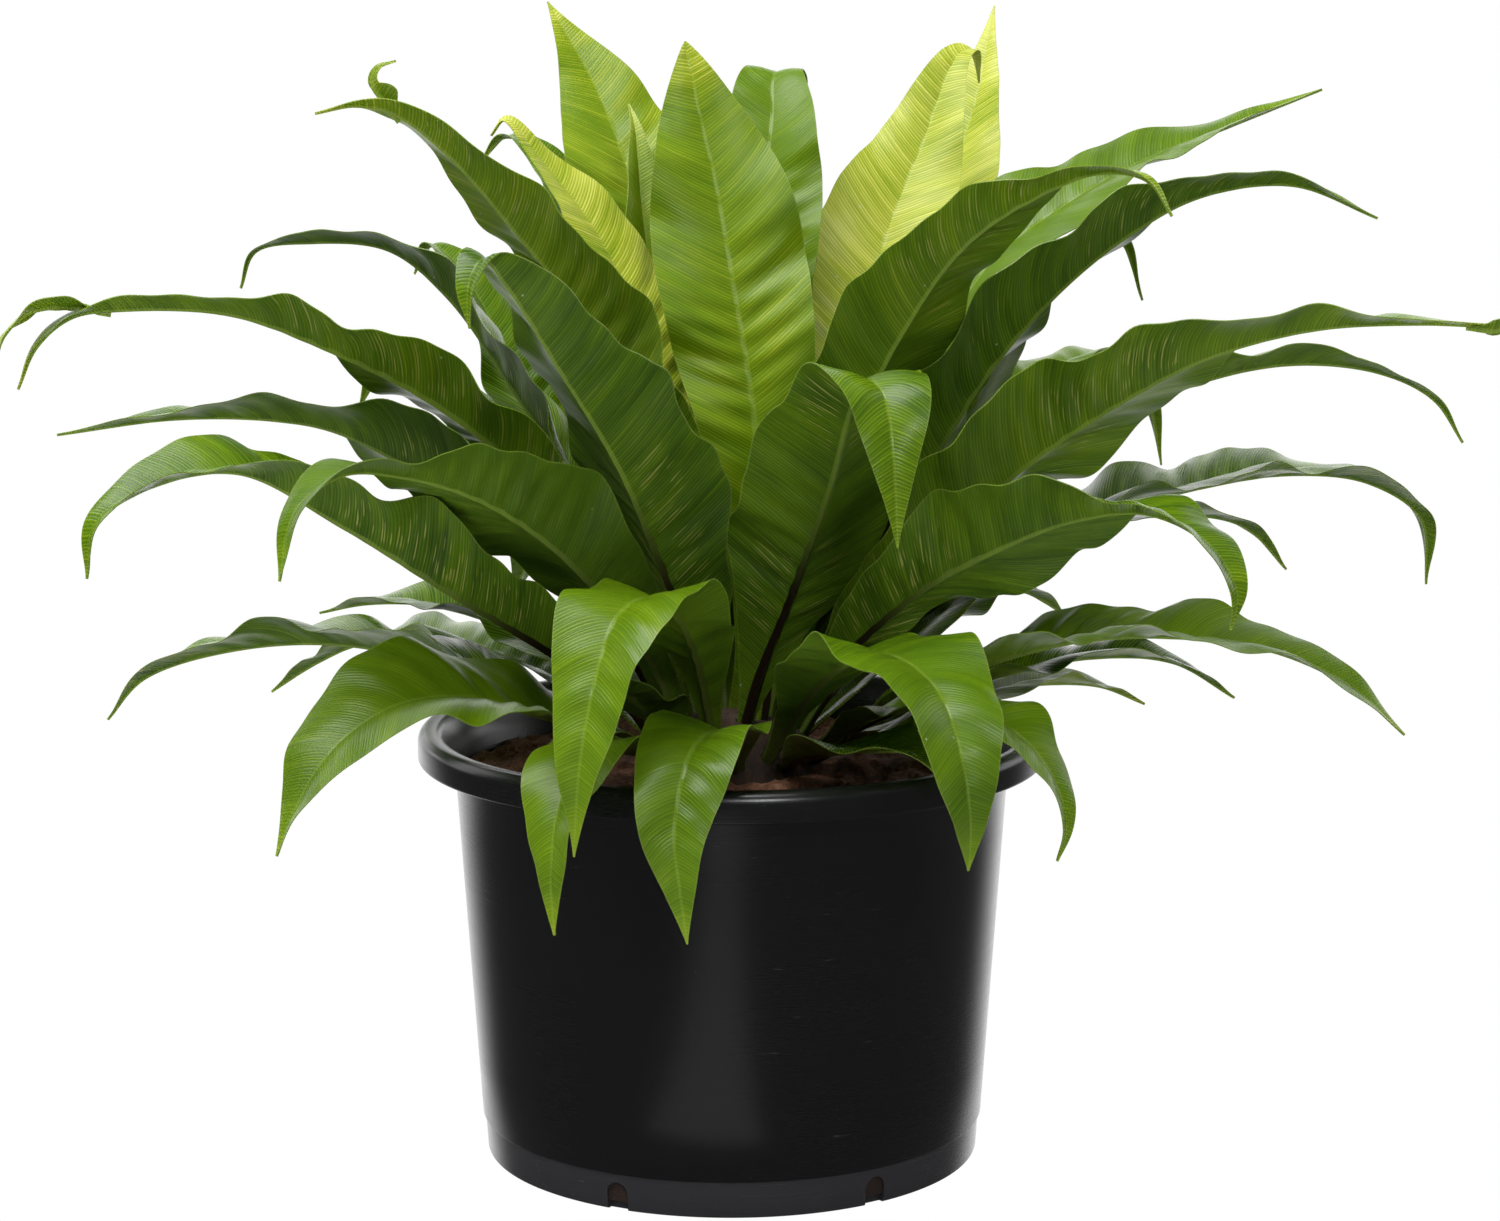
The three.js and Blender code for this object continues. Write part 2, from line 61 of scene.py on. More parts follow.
def add_camera():
    bpy.ops.object.camera_add(location=CAMERA_PLACE, rotation=(math.radians(CAMERA_PITCH_DEG), 0, 0))
    camera = bpy.context.object
    camera.name = "photo_camera"
    camera.data.sensor_width = SENSOR_MM
    camera.data.lens = SENSOR_MM * FOCAL_PX / PHOTO_WIDTH_PX
    bpy.context.scene.camera = camera
    return camera


print("lens:", round(add_camera().data.lens, 1), "mm")

# %% [markdown]
# Shader maths reads best as arithmetic. A Wire is one output of a node, and adding or
# multiplying wires adds the Math nodes. A Finish is a material in the making: its add method
# makes any node from its type, its settings and the values of its sockets.

# %% Shader helpers


class Wire:
    """One output of a node. Arithmetic on it adds Math nodes."""

    def __init__(self, finish, socket):
        self.finish = finish
        self.socket = socket

    def math(self, operation, *values):
        return self.finish.add("ShaderNodeMath", {"operation": operation}, dict(enumerate(values)))

    def __add__(self, other):
        return self.math("ADD", self, other)

    def __sub__(self, other):
        return self.math("SUBTRACT", self, other)

    def __rsub__(self, other):
        return self.math("SUBTRACT", other, self)

    def __mul__(self, other):
        return self.math("MULTIPLY", self, other)

    def __pow__(self, other):
        return self.math("POWER", self, other)

    def __abs__(self):
        return self.math("ABSOLUTE", self)

    def sine(self):
        return self.math("SINE", self)

    __radd__ = __add__
    __rmul__ = __mul__


class Finish:
    """A material in the making."""

    def __init__(self, name, kind="materials"):
        self.material = getattr(bpy.data, kind).new(name)
        self.material.use_nodes = True
        self.tree = self.material.node_tree
        self.tree.nodes.clear()

    def add(self, kind, settings=None, sockets=None, output=0):
        """Adds a node with its settings, then its values and links, and returns one output."""
        node = self.tree.nodes.new(kind)
        for key, value in (settings or {}).items():
            if key == "stops":
                self.set_stops(node.color_ramp, value)
            else:
                setattr(node, key, value)
        for key, value in (sockets or {}).items():
            if isinstance(value, Wire):
                self.tree.links.new(value.socket, node.inputs[key])
            else:
                node.inputs[key].default_value = value
        return Wire(self, node.outputs[output]) if node.outputs else None

    @staticmethod
    def set_stops(ramp, stops):
        while len(ramp.elements) < len(stops):
            ramp.elements.new(1.0)
        for element, (place, colour) in zip(ramp.elements, stops):
            element.position = place
            element.color = (*colour, 1.0)

    def attribute(self, name):
        """The three numbers that a mesh attribute holds at each point."""
        vector = self.add("ShaderNodeAttribute", {"attribute_name": name}, output=1)
        return [self.add("ShaderNodeSeparateXYZ", None, {0: vector}, k) for k in range(3)]

    def object_place(self, scale=(1, 1, 1)):
        """The point in the object's own frame, stretched by a scale along each axis."""
        place = self.add("ShaderNodeTexCoord", output=3)
        return self.add("ShaderNodeMapping", None, {"Vector": place, "Scale": scale})

    def height(self, place):
        return self.add("ShaderNodeSeparateXYZ", None, {0: place}, 2)

    def joined(self, x, y, z):
        return self.add("ShaderNodeCombineXYZ", None, {0: x, 1: y, 2: z})

    def noise(self, vector, scale, detail=2.0, roughness=0.5):
        sockets = {"Vector": vector, "Scale": scale, "Detail": detail, "Roughness": roughness}
        return self.add("ShaderNodeTexNoise", None, sockets)

    def cells(self, vector, scale, output=0):
        return self.add("ShaderNodeTexVoronoi", None, {"Vector": vector, "Scale": scale}, output)

    def ease(self, wire, start, end):
        """0 before start, 1 after end, and smooth between."""
        sockets = {"Value": wire, "From Min": start, "From Max": end}
        return self.add("ShaderNodeMapRange", {"interpolation_type": "SMOOTHSTEP"}, sockets)

    def mix(self, factor, first, second):
        first, second = [c if isinstance(c, Wire) else (*c, 1.0) for c in (first, second)]
        return self.add("ShaderNodeMix", {"data_type": "RGBA"}, {0: factor, 6: first, 7: second}, 2)

    def ramp(self, wire, stops):
        return self.add("ShaderNodeValToRGB", {"stops": stops}, {"Fac": wire})

    def bump(self, height, distance, strength=1.0):
        sockets = {"Height": height, "Distance": distance, "Strength": strength}
        return self.add("ShaderNodeBump", None, sockets)

    def done(self, sockets):
        """Closes the finish with one Principled surface."""
        surface = self.add("ShaderNodeBsdfPrincipled", None, sockets)
        self.add("ShaderNodeOutputMaterial", None, {"Surface": surface})
        print("finish:", self.material.name, "nodes:", len(self.tree.nodes))
        return self.material


# %% [markdown]
# A fern blade is leathery and glossy above, greyer below. Fine veins run side by side from the
# midrib to the edge. Each blade carries two attributes for its finish. The first, blade, holds
# where along the midrib a point's vein starts, how far across it lies, and whether it is the
# underside. The second, place, holds the share of the frond's length, the distance to the edge
# and the frond's tone of age and painted light, from deep green at 0 to pale yellow-green at 1.

# %% Leaf colours
LEAF_TONES = [
    (0.0, (0.006, 0.018, 0.001)),
    (0.25, (0.038, 0.086, 0.002)),
    (0.5, (0.096, 0.178, 0.002)),
    (0.7, (0.170, 0.255, 0.003)),
    (0.85, (0.320, 0.370, 0.025)),
    (1.0, (0.520, 0.540, 0.100)),
]
UNDERSIDE = (0.075, 0.120, 0.035)
UNDERSIDE_SHARE = 0.16
MARGIN = (0.230, 0.260, 0.060)
MARGIN_BAND = (0.2 * MM, 0.8 * MM)
MARGIN_SHARE = 0.22
SPECK = (0.420, 0.500, 0.330)
SPECK_SCALE = 85.0
SPECK_SIZE = (0.035, 0.060)
SPECK_PATCHES = (0.55, 0.62)
SPECK_SHARE = 0.6
print("leaf tones:", len(LEAF_TONES))

# %% [markdown]
# The veins are a sine of the distance along the midrib, swept forward a little more than the
# blade's own folds. A noise that is stretched along the veins makes them wander and breaks
# them into streaks, and a wider one makes the broad light and dark bands of many veins.

# %% Veins
VEIN_PITCH = 1.7 * MM
VEIN_SWEEP = 0.22
VEIN_WANDER = 9.0
STREAK_RUN = 45 * MM
STREAK_SEED = 40
STREAK_SHARE = 0.7
STREAK_DEPTH = 0.56
BAND_RATE = 0.11
BAND_SEED = 17
BAND_DEPTH = 0.46
LINE_WIDTH = (0.55, 0.98)
LINE_GAPS = (0.38, 0.62)
LINE_DEPTH = 0.10
PATCH_SCALE = 22.0
PATCH_DEPTH = 0.34
# BASE_ZONE and BASE_SHADE paint shade near the stalk, where the fronds shade each other.
BASE_ZONE = (0.0, 0.30)
BASE_SHADE = 0.03
# The tips are paler, partly their own yellower colour and partly painted light where the light falls.
TIP_ZONE = (0.88, 1.0)
TIP_PALE_AND_LIT = 0.20


def vein_patterns(f, run, across, tone):
    """How many veins lie before a point, and its streaks, veins and bands from 0 to 1."""
    veins = (run - abs(across) * VEIN_SWEEP) * (1 / VEIN_PITCH)
    along_vein = across * (1 / STREAK_RUN)
    streaks = f.noise(f.joined(veins, along_vein, tone * STREAK_SEED), 1.0, 3.0, 0.6)
    lines = (veins * math.tau + streaks * VEIN_WANDER).sine() * 0.5 + 0.5
    bands = f.noise(f.joined(veins * BAND_RATE, along_vein, tone * BAND_SEED), 1.0, 1.0)
    return veins, streaks, lines, bands


def vein_tone(f, streaks, lines, bands, patches):
    """How much lighter or darker than its frond a point is, and the relief of its veins."""
    relief = streaks * STREAK_SHARE + lines * (1 - STREAK_SHARE)
    pale_lines = f.ease(lines, *LINE_WIDTH) * f.ease(streaks, *LINE_GAPS)
    change = (relief - 0.5) * STREAK_DEPTH + pale_lines * LINE_DEPTH
    return change + (patches - 0.5) * PATCH_DEPTH + (bands - 0.5) * BAND_DEPTH, relief


print("veins every", round(VEIN_PITCH / MM, 1), "mm along the midrib")

# %% [markdown]
# Older fronds carry their spores on the underside, in thin pale lines that follow some of the
# veins. They lie in a zone on both sides of the midrib, and more of them in some places.

# %% Spore lines
SORI = (0.300, 0.310, 0.075)
SORI_RATE = 0.9
SORI_RUN = 16 * MM
SORI_SEED = 31
SORI_STARTS = (0.57, 0.63)
SORI_WIDTH = (0.45, 0.85)
SORI_FROM = (3 * MM, 6 * MM)
SORI_TO = (19 * MM, 26 * MM)
SORI_CLUMP_SCALE = 12.0
SORI_CLUMPS = (0.46, 0.54)
SORI_SHARE = 0.75


def spore_lines(f, veins, lines, across, tone):
    place = f.joined(veins * SORI_RATE, across * (1 / SORI_RUN), tone * SORI_SEED)
    marks = f.ease(f.noise(place, 1.0, 0.0), *SORI_STARTS) * f.ease(lines, *SORI_WIDTH)
    zone = f.ease(abs(across), *SORI_FROM) * (1 - f.ease(abs(across), *SORI_TO))
    clumps = f.ease(f.noise(f.object_place(), SORI_CLUMP_SCALE, 0.0), *SORI_CLUMPS)
    return marks * zone * clumps * SORI_SHARE


print("spore lines up to", round(SORI_TO[1] / MM), "mm from the midrib")

# %% [markdown]
# The midrib is pale and narrows towards the tip. Near the stalk its underside turns nearly
# black, most of all on old fronds.

# %% Midrib colour
RIB_PALE = (0.300, 0.400, 0.070)
RIB_DARK = (0.012, 0.006, 0.004)
RIB_TAPER = 1.5
RIB_WIDE = 2.0 * MM
RIB_NARROW = 0.35 * MM
RIB_SOFT = 0.5 * MM
RIB_BLACK_ZONE = (0.25, 0.50)
RIB_PALE_ABOVE = 0.16
RIB_PALE_BELOW = 0.18


def midrib_band(f, share, across):
    """1 on the midrib and 0 beside it."""
    half = (1 - share) ** RIB_TAPER * RIB_WIDE + RIB_NARROW
    return 1 - f.ease(abs(across) - half, 0.0, RIB_SOFT)


def midrib_colour(f, colour, share, under, darkness):
    pale = f.mix(under * RIB_PALE_BELOW + RIB_PALE_ABOVE, colour, RIB_PALE)
    blackened = (1 - f.ease(share, *RIB_BLACK_ZONE)) * under * darkness
    return f.mix(blackened, pale, RIB_DARK)


print("midrib tapers to", round(2 * RIB_NARROW / MM, 1), "mm")

# %% [markdown]
# One function makes the three leaf finishes. They differ in their gloss, in how dark the
# midrib turns, in how fertile the underside is and in how strongly the veins show.

# %% Leaf finish
RIB_RELIEF = 0.7
BLADE_RELIEF = 0.20 * MM
ROUGHER_BELOW = 0.06
ROUGHER_VEINS = 0.12
LIGHT_THROUGH = 0.22
LIGHT_DEPTH = 1.5 * MM
LIGHT_SPREAD = (0.7, 1.0, 0.25)
LEAF_IOR = 1.42
LEAF_SHINE = 0.34


def leaf_finish(name, gloss, rib_darkness, fertile, contrast):
    f = Finish(name)
    run, across, under = f.attribute("blade")
    share, edge, tone = f.attribute("place")
    veins, streaks, lines, bands = vein_patterns(f, run, across, tone)
    patches = f.noise(f.object_place(), PATCH_SCALE, 3.0)
    change, relief = vein_tone(f, streaks, lines, bands, patches)
    # Painted shade darkens each frond near its stalk.
    base_shade = (1 - f.ease(share, *BASE_ZONE)) * BASE_SHADE
    # Paler tips: partly their own yellower colour, partly painted light where the light falls on them.
    pale_and_lit_tip = f.ease(share, *TIP_ZONE) * TIP_PALE_AND_LIT
    colour = f.ramp(tone + change * contrast - base_shade + pale_and_lit_tip, LEAF_TONES)
    colour = f.mix(under * UNDERSIDE_SHARE, colour, UNDERSIDE)
    colour = f.mix(spore_lines(f, veins, lines, across, tone) * under * fertile, colour, SORI)
    rib = midrib_band(f, share, across)
    colour = f.mix(rib, colour, midrib_colour(f, colour, share, under, rib_darkness))
    colour = f.mix((1 - f.ease(edge, *MARGIN_BAND)) * MARGIN_SHARE, colour, MARGIN)
    specks = 1 - f.ease(f.cells(f.object_place(), SPECK_SCALE), *SPECK_SIZE)
    colour = f.mix(specks * f.ease(patches, *SPECK_PATCHES) * SPECK_SHARE, colour, SPECK)
    return f.done({
        "Base Color": colour,
        "Roughness": under * ROUGHER_BELOW + relief * ROUGHER_VEINS + gloss,
        "Normal": f.bump(relief * (1 - rib) + rib * RIB_RELIEF, BLADE_RELIEF),
        "Subsurface Weight": LIGHT_THROUGH,
        "Subsurface Radius": LIGHT_SPREAD,
        "Subsurface Scale": LIGHT_DEPTH,
        "IOR": LEAF_IOR,
        "Specular IOR Level": LEAF_SHINE,
    })


YOUNG = "leaf_young"
BRIGHT = "leaf_bright"
DARK = "leaf_dark"
LEAF = {
    YOUNG: leaf_finish("young_blade", 0.33, 0.25, 0.0, 0.72),
    BRIGHT: leaf_finish("bright_blade", 0.27, 0.6, 0.25, 0.50),
    DARK: leaf_finish("dark_blade", 0.22, 1.0, 1.0, 0.90),
}

# %% [markdown]
# Each frond is named, coloured and routed as its solid is: heading in degrees, full width, fold
# of each half, twist at even steps, and its midrib as points of out from the pot's axis, height
# and sideways to the left of the heading, all in millimetres. Some rows end with the share of
# the length at which the blade is widest, and with how bluntly it tapers. The points are the
# same ones that shape the solids, so a fine blade lies within a few millimetres of its solid.

# %% Fronds of the plant
FRONDS = [
    # upright young fronds in the middle
    ["frond_top_centre", YOUNG, 95, 74, 10, [0, 0, 0],
     [[3, 202, 0], [5, 240, -8], [6, 285, -12], [9, 347, -12], [20, 413, -3], [33, 464, 5],
      [41, 492, 11], [48, 529, 18]], 0.68, 0.88],
    ["frond_top_behind", BRIGHT, 78, 66, 10, [0, 0, 0],
     [[15, 202, 4], [30, 255, 12], [50, 318, 15], [70, 385, 9], [90, 450, 4], [108, 489, 3],
      [126, 512, 5], [146, 505], [156, 480]], 0.6],
    ["frond_top_right", YOUNG, 55, 88, 12, [0, 25, 25, 20],
     [[9, 201, -3], [36, 265, -10], [84, 345, -6], [137, 425, 5], [174, 473, 6], [204, 519, 3],
      [214, 522], [221, 505]]],
    ["frond_top_right_behind", YOUNG, 62, 94, 10, [0, 0, 0],
     [[22, 198], [60, 264], [110, 329], [175, 394, -2], [230, 447, -3], [270, 495, -2], [296, 543]]],
    ["frond_top_left", YOUNG, 118, 78, 10, [0, -10, -10],
     [[19, 200], [42, 250, -3], [79, 315, -10], [115, 385, -18], [149, 453, -22], [180, 502, -17],
      [208, 546, -3]], 0.66],
    ["frond_top_left_yellow", YOUNG, 158, 64, 12, [0, -20, -20],
     [[8, 202], [10, 245, -2], [22, 302, -8], [39, 359, -12], [58, 406, -15], [79, 442, -16],
      [105, 474, -13], [122, 492, -11], [130, 484, -11]]],
    ["frond_top_rolled", BRIGHT, 118, 66, 34, [0, 0, 0],
     [[12, 202, 3], [26, 248, 1], [55, 325, 1], [77, 396, 1], [94, 446, 0], [110, 486, -4],
      [118, 497, -5]]],
    ["frond_top_back", DARK, 128, 66, 12, [0, 0, 0],
     [[25, 198, -5], [50, 245, -10], [99, 318, -28], [150, 388, -39], [188, 442, -42],
      [216, 470, -39], [238, 476, -34], [252, 462, -28]]],

    # left
    ["frond_left_1", DARK, 200, 74, 14, [0, 20, 25, 20],
     [[12, 200], [18, 240], [42, 331], [76, 408], [106, 446], [135, 479], [161, 499], [179, 503],
      [198, 500]]],
    ["frond_left_2", DARK, 168, 66, 14, [0, 10, 20, 0],
     [[18, 200], [30, 240], [64, 303], [103, 361], [137, 408], [167, 431], [207, 434], [235, 429],
      [243, 411]]],
    ["frond_left_3", DARK, 194, 52, 20, [0, 10, 36, 15, 0],
     [[23, 198], [34, 232], [59, 282], [101, 332], [143, 366], [193, 393], [235, 409], [283, 412],
      [306, 409], [322, 396], [331, 377]]],
    ["frond_left_4", DARK, 185, 84, 14, [5, 25, 30, 10, 0],
     [[28, 197], [40, 228], [64, 264], [102, 298], [141, 326], [185, 350], [214, 356], [260, 357],
      [315, 350]]],
    ["frond_left_5", DARK, 206, 72, 28, [5, 14, 20, -10, -20],
     [[33, 193], [56, 223], [95, 250], [143, 281], [195, 316], [243, 343], [284, 339], [309, 324],
      [314, 300]]],
    ["frond_left_6", BRIGHT, 222, 78, 14, [0, 18, 38, 10, 0],
     [[25, 198, -2], [37, 232, -8], [58, 262, -11], [105, 303, -6], [151, 330, -1], [195, 345],
      [227, 348], [251, 334], [260, 305]]],
    ["frond_left_7", DARK, 172, 84, 14, [0, 10, 10, 0],
     [[37, 192], [84, 212], [129, 229], [189, 241], [244, 237], [291, 221], [310, 200]]],
    ["frond_left_8", BRIGHT, 215, 82, 14, [0, -14, -16, 0],
     [[36, 192, 5], [64, 207, 4], [108, 224, 2], [150, 237], [187, 236], [217, 220], [236, 196],
      [246, 176]]],
    ["frond_left_9", DARK, 235, 88, 26, [0, 0, 0],
     [[14, 200], [24, 235, 1], [51, 274, 4], [65, 299, 3], [88, 339, 1], [131, 389], [166, 427],
      [184, 441], [194, 430], [194, 412]]],

    # right
    ["frond_right_1", DARK, -30, 70, 14, [0, -30, -30, 0],
     [[14, 200], [22, 240], [37, 289], [64, 350], [90, 398], [120, 438], [155, 462], [189, 475],
      [212, 472], [224, 457]]],
    ["frond_right_2", BRIGHT, 18, 84, 14, [0, 15, 15, 0],
     [[14, 201, -4], [24, 240, -5], [60, 308, 3], [102, 378, 7], [135, 425, 6], [176, 455], [213, 473],
      [250, 486], [304, 505]]],
    ["frond_right_3", DARK, -4, 80, 18, [0, -25, -25, 0],
     [[20, 200, -3], [31, 238, -2], [62, 287], [95, 336], [122, 379], [154, 416], [187, 443],
      [219, 460], [261, 465], [300, 450]]],
    ["frond_right_4", DARK, -22, 84, 14, [-10, -28, -35, -15, 0],
     [[26, 198, -1], [39, 228], [66, 262], [106, 302], [146, 339], [190, 370], [232, 393], [280, 407],
      [326, 411], [350, 411], [366, 411]]],
    ["frond_right_5", DARK, 2, 64, 14, [-5, -20, -20, 0],
     [[29, 196], [45, 221, 3], [72, 256, 7], [120, 302, 9], [169, 344, 4], [217, 369], [264, 379],
      [307, 375], [334, 362], [349, 341]]],
    ["frond_right_6", DARK, -42, 76, 14, [0, -20, -42, -10, 0],
     [[26, 196], [42, 220], [74, 251], [116, 284], [162, 309], [206, 327], [243, 333], [274, 323],
      [289, 304], [287, 287]], 0.58],
    ["frond_right_7", DARK, 22, 84, 14, [0, -10, 0, 0],
     [[32, 195], [50, 218], [88, 246], [147, 279], [201, 298], [252, 308], [303, 312], [350, 305],
      [382, 284], [386, 250]]],
    ["frond_right_8", BRIGHT, -10, 74, 14, [0, -5, 5, 15],
     [[37, 193, 2], [72, 217, 1], [119, 239], [166, 253], [213, 256], [259, 250], [292, 235],
      [318, 213]]],
    ["frond_right_9", DARK, 11, 60, 14, [0, 0, 0],
     [[38, 193], [83, 211], [133, 226], [179, 233], [220, 229], [252, 210]]],
    ["frond_right_10", YOUNG, 25, 50, 14, [0, 0, 0],
     [[40, 192, -2], [85, 202, -6], [130, 212, -12], [152, 214, -8], [176, 213, -4], [205, 208],
      [230, 197]]],

    # front
    ["frond_front_1", DARK, -72, 82, 12, [0, 0, 0],
     [[13, 202, 0], [25, 232, 5], [46, 274, 14], [78, 330, 22], [111, 370, 20], [133, 386, 19],
      [155, 381, 20], [166, 359, 20], [168, 316, 22]], 0.42],
    ["frond_front_2", BRIGHT, -62, 70, 12, [0, 0, 0],
     [[34, 194], [68, 226], [115, 255, -4], [168, 268, -8], [214, 259, -12], [235, 236, -14],
      [239, 211, -12], [225, 184, -4]]],
    ["frond_front_3", BRIGHT, -35, 52, 12, [0, 0, 0],
     [[37, 193, -1], [73, 217, -2], [113, 230, -12], [150, 232, -22], [177, 226, -26], [195, 208, -27],
      [201, 188, -27], [197, 172, -27]]],
    ["frond_front_4", BRIGHT, -96, 52, 12, [0, 0, 0],
     [[37, 193, 6], [59, 208, 9], [95, 222, 9], [131, 228, 2], [159, 220, -3], [174, 193, -6],
      [177, 168, -3], [177, 145, 0]]],
    ["frond_front_5", BRIGHT, -128, 48, 12, [0, 0, 0],
     [[38, 193, 8], [65, 204, 16], [104, 214, 23], [138, 222, 29], [166, 206, 36], [179, 179, 41],
      [180, 147, 43]]],
    ["frond_front_6", BRIGHT, -112, 58, 12, [0, 0, 0],
     [[28, 196, 4], [44, 227, 5], [66, 254, 8], [95, 277, 11], [127, 289, 11], [157, 283, 9],
      [176, 255, 7], [186, 222, 5], [188, 184, 3]]],
    ["frond_front_7", DARK, -122, 44, 14, [0, 0, 0],
     [[32, 195, -6], [54, 213, -5], [80, 232, -2], [106, 243, 0], [126, 243], [144, 232]]],
    ["frond_front_8", DARK, -50, 54, 14, [0, 0, 0],
     [[40, 193, -1], [60, 201, -7], [88, 209, -12], [121, 216, -16], [147, 219, -17], [164, 213, -18]]],
    ["frond_front_9", DARK, -22, 46, 14, [0, 0, 0],
     [[39, 193], [60, 201, -1], [85, 207], [110, 213], [130, 217], [148, 217]]],

    # back
    ["frond_back_1", DARK, 138, 66, 14, [0, 0, 0],
     [[29, 197, 1], [52, 230, 1], [88, 280], [124, 334], [158, 384], [186, 416], [206, 425], [218, 410]]],
    ["frond_back_2", DARK, 142, 70, 14, [0, 0, 0],
     [[35, 195], [52, 217], [84, 250], [120, 292], [160, 335], [200, 361], [228, 360], [244, 340]]],
    ["frond_back_3", DARK, 154, 66, 14, [0, 0, 0],
     [[35, 193, 3], [75, 221, 2], [120, 243], [165, 252], [203, 250], [232, 243]]],
    ["frond_back_4", DARK, 138, 56, 14, [0, 0, 0],
     [[40, 193, -3], [90, 206, -1], [150, 220], [210, 224], [265, 213], [300, 198], [336, 178]]],
    ["frond_back_5", BRIGHT, 30, 48, 14, [0, 0, 0],
     [[23, 198], [48, 238], [88, 289, -3], [132, 348, -3], [172, 402], [201, 430], [223, 430], [238, 399]]],
    ["frond_back_6", BRIGHT, 42, 50, 14, [0, 0, 0],
     [[28, 196], [50, 226], [92, 272], [150, 322], [208, 358], [258, 364], [292, 342], [305, 304]]],
    ["frond_back_7", DARK, 32, 66, 14, [0, 0, 0],
     [[35, 193, 3], [90, 228, 2], [150, 264], [210, 284], [270, 287], [314, 277], [343, 252]]],
    ["frond_back_8", DARK, 48, 64, 14, [0, 0, 0],
     [[37, 193, 3], [80, 213, 2], [130, 234], [180, 245], [225, 243], [262, 226]]],
    ["frond_back_9", DARK, 86, 74, 14, [0, 0, 0],
     [[26, 197], [52, 232], [94, 278], [140, 322], [190, 357], [235, 366], [270, 348]]],
    ["frond_back_10", DARK, 70, 74, 14, [0, 0, 0],
     [[31, 195], [54, 220], [98, 254], [150, 284], [205, 297], [255, 288], [290, 260]]],
    ["frond_back_11", DARK, 114, 76, 14, [0, 0, 0],
     [[33, 193], [55, 218], [100, 248], [155, 268], [210, 272], [260, 255], [300, 222]]],
    ["frond_back_12", BRIGHT, 92, 66, 14, [0, 0, 0],
     [[38, 193], [90, 209], [140, 226], [185, 229], [225, 209], [245, 174]]],
]

SECOND_TIPS = [
    ["frond_left_1", 200, 8, [[158, 496], [166, 506, -2], [170, 513, -3], [167, 519, -2], [160, 522]]],
    ["frond_left_3", 194, 13, [[288, 411], [309, 414], [325, 412], [336, 402], [342, 386]]],
    ["frond_right_4", -22, 13, [[346, 411], [359, 410], [368, 415], [370, 424], [364, 437]]],
]
print("fronds:", len(FRONDS), "second tips:", len(SECOND_TIPS))

# %% [markdown]
# A frond's tone holds its age and painted light. Most take the tone of their colour, and
# the ones that the light reaches most, or least, have a painted lighter or darker one of their own.

# %% Tones
CLASS_TONES = {YOUNG: 0.68, BRIGHT: 0.47, DARK: 0.36}
# These tones are painted light and shade on top of each frond's age.
AGE_AND_LIGHT_TONES = {
    "frond_top_right": 0.85,
    "frond_top_right_behind": 0.85,
    "frond_top_left_yellow": 0.81,
    "frond_top_left": 0.66,
    "frond_top_centre": 0.58,
    "frond_top_behind": 0.50,
    "frond_top_rolled": 0.62,
    "frond_front_1": 0.40,
    "frond_front_2": 0.38,
    "frond_front_4": 0.41,
    "frond_front_6": 0.47,
    "frond_right_1": 0.50,
    "frond_right_2": 0.44,
    "frond_right_4": 0.46,
    "frond_left_1": 0.58,
    "frond_left_3": 0.50,
    "frond_left_5": 0.38,
    "frond_left_6": 0.36,
    "frond_left_9": 0.31,
}


def tone_of(name, slot):
    return AGE_AND_LIGHT_TONES.get(name, CLASS_TONES[slot])


# %% [markdown]
# The midrib is a smooth curve through the route's points, of the kind called centripetal
# Catmull-Rom, which never loops between points. It is cut into short steps, and at each step
# the blade's side and normal are worked out from its heading and its twist.

# %% Midrib
SPAN_STEPS = 48


def smooth_route(points):
    """Points on the curve through the given ones, in short steps."""
    points = np.vstack([2 * points[0] - points[1], points, 2 * points[-1] - points[-2]])
    t = np.linspace(0, 1, SPAN_STEPS, endpoint=False)[:, None]
    pieces = []
    for a, b, c, d in zip(points, points[1:], points[2:], points[3:]):
        before, middle, after = [math.sqrt(np.linalg.norm(q - p)) for p, q in ((a, b), (b, c), (c, d))]
        leave = ((b - a) / before - (c - a) / (before + middle) + (c - b) / middle) * middle
        arrive = ((c - b) / middle - (d - b) / (middle + after) + (d - c) / after) * middle
        bend = 3 * (c - b) - 2 * leave - arrive
        twist = 2 * (b - c) + leave + arrive
        pieces.append(b + leave * t + bend * t**2 + twist * t**3)
    return np.vstack([*pieces, points[-2:-1]])


def along(values, share):
    """Smoothly between values that stand at even steps from 0 to 1."""
    place = np.clip(share, 0, 1) * (len(values) - 1)
    k = np.minimum(place.astype(int), len(values) - 2)
    s = place - k
    values = np.array(values, float)
    return values[k] + (values[k + 1] - values[k]) * s * s * (3 - 2 * s)


def unit(vectors):
    return vectors / np.linalg.norm(vectors, axis=-1, keepdims=True)


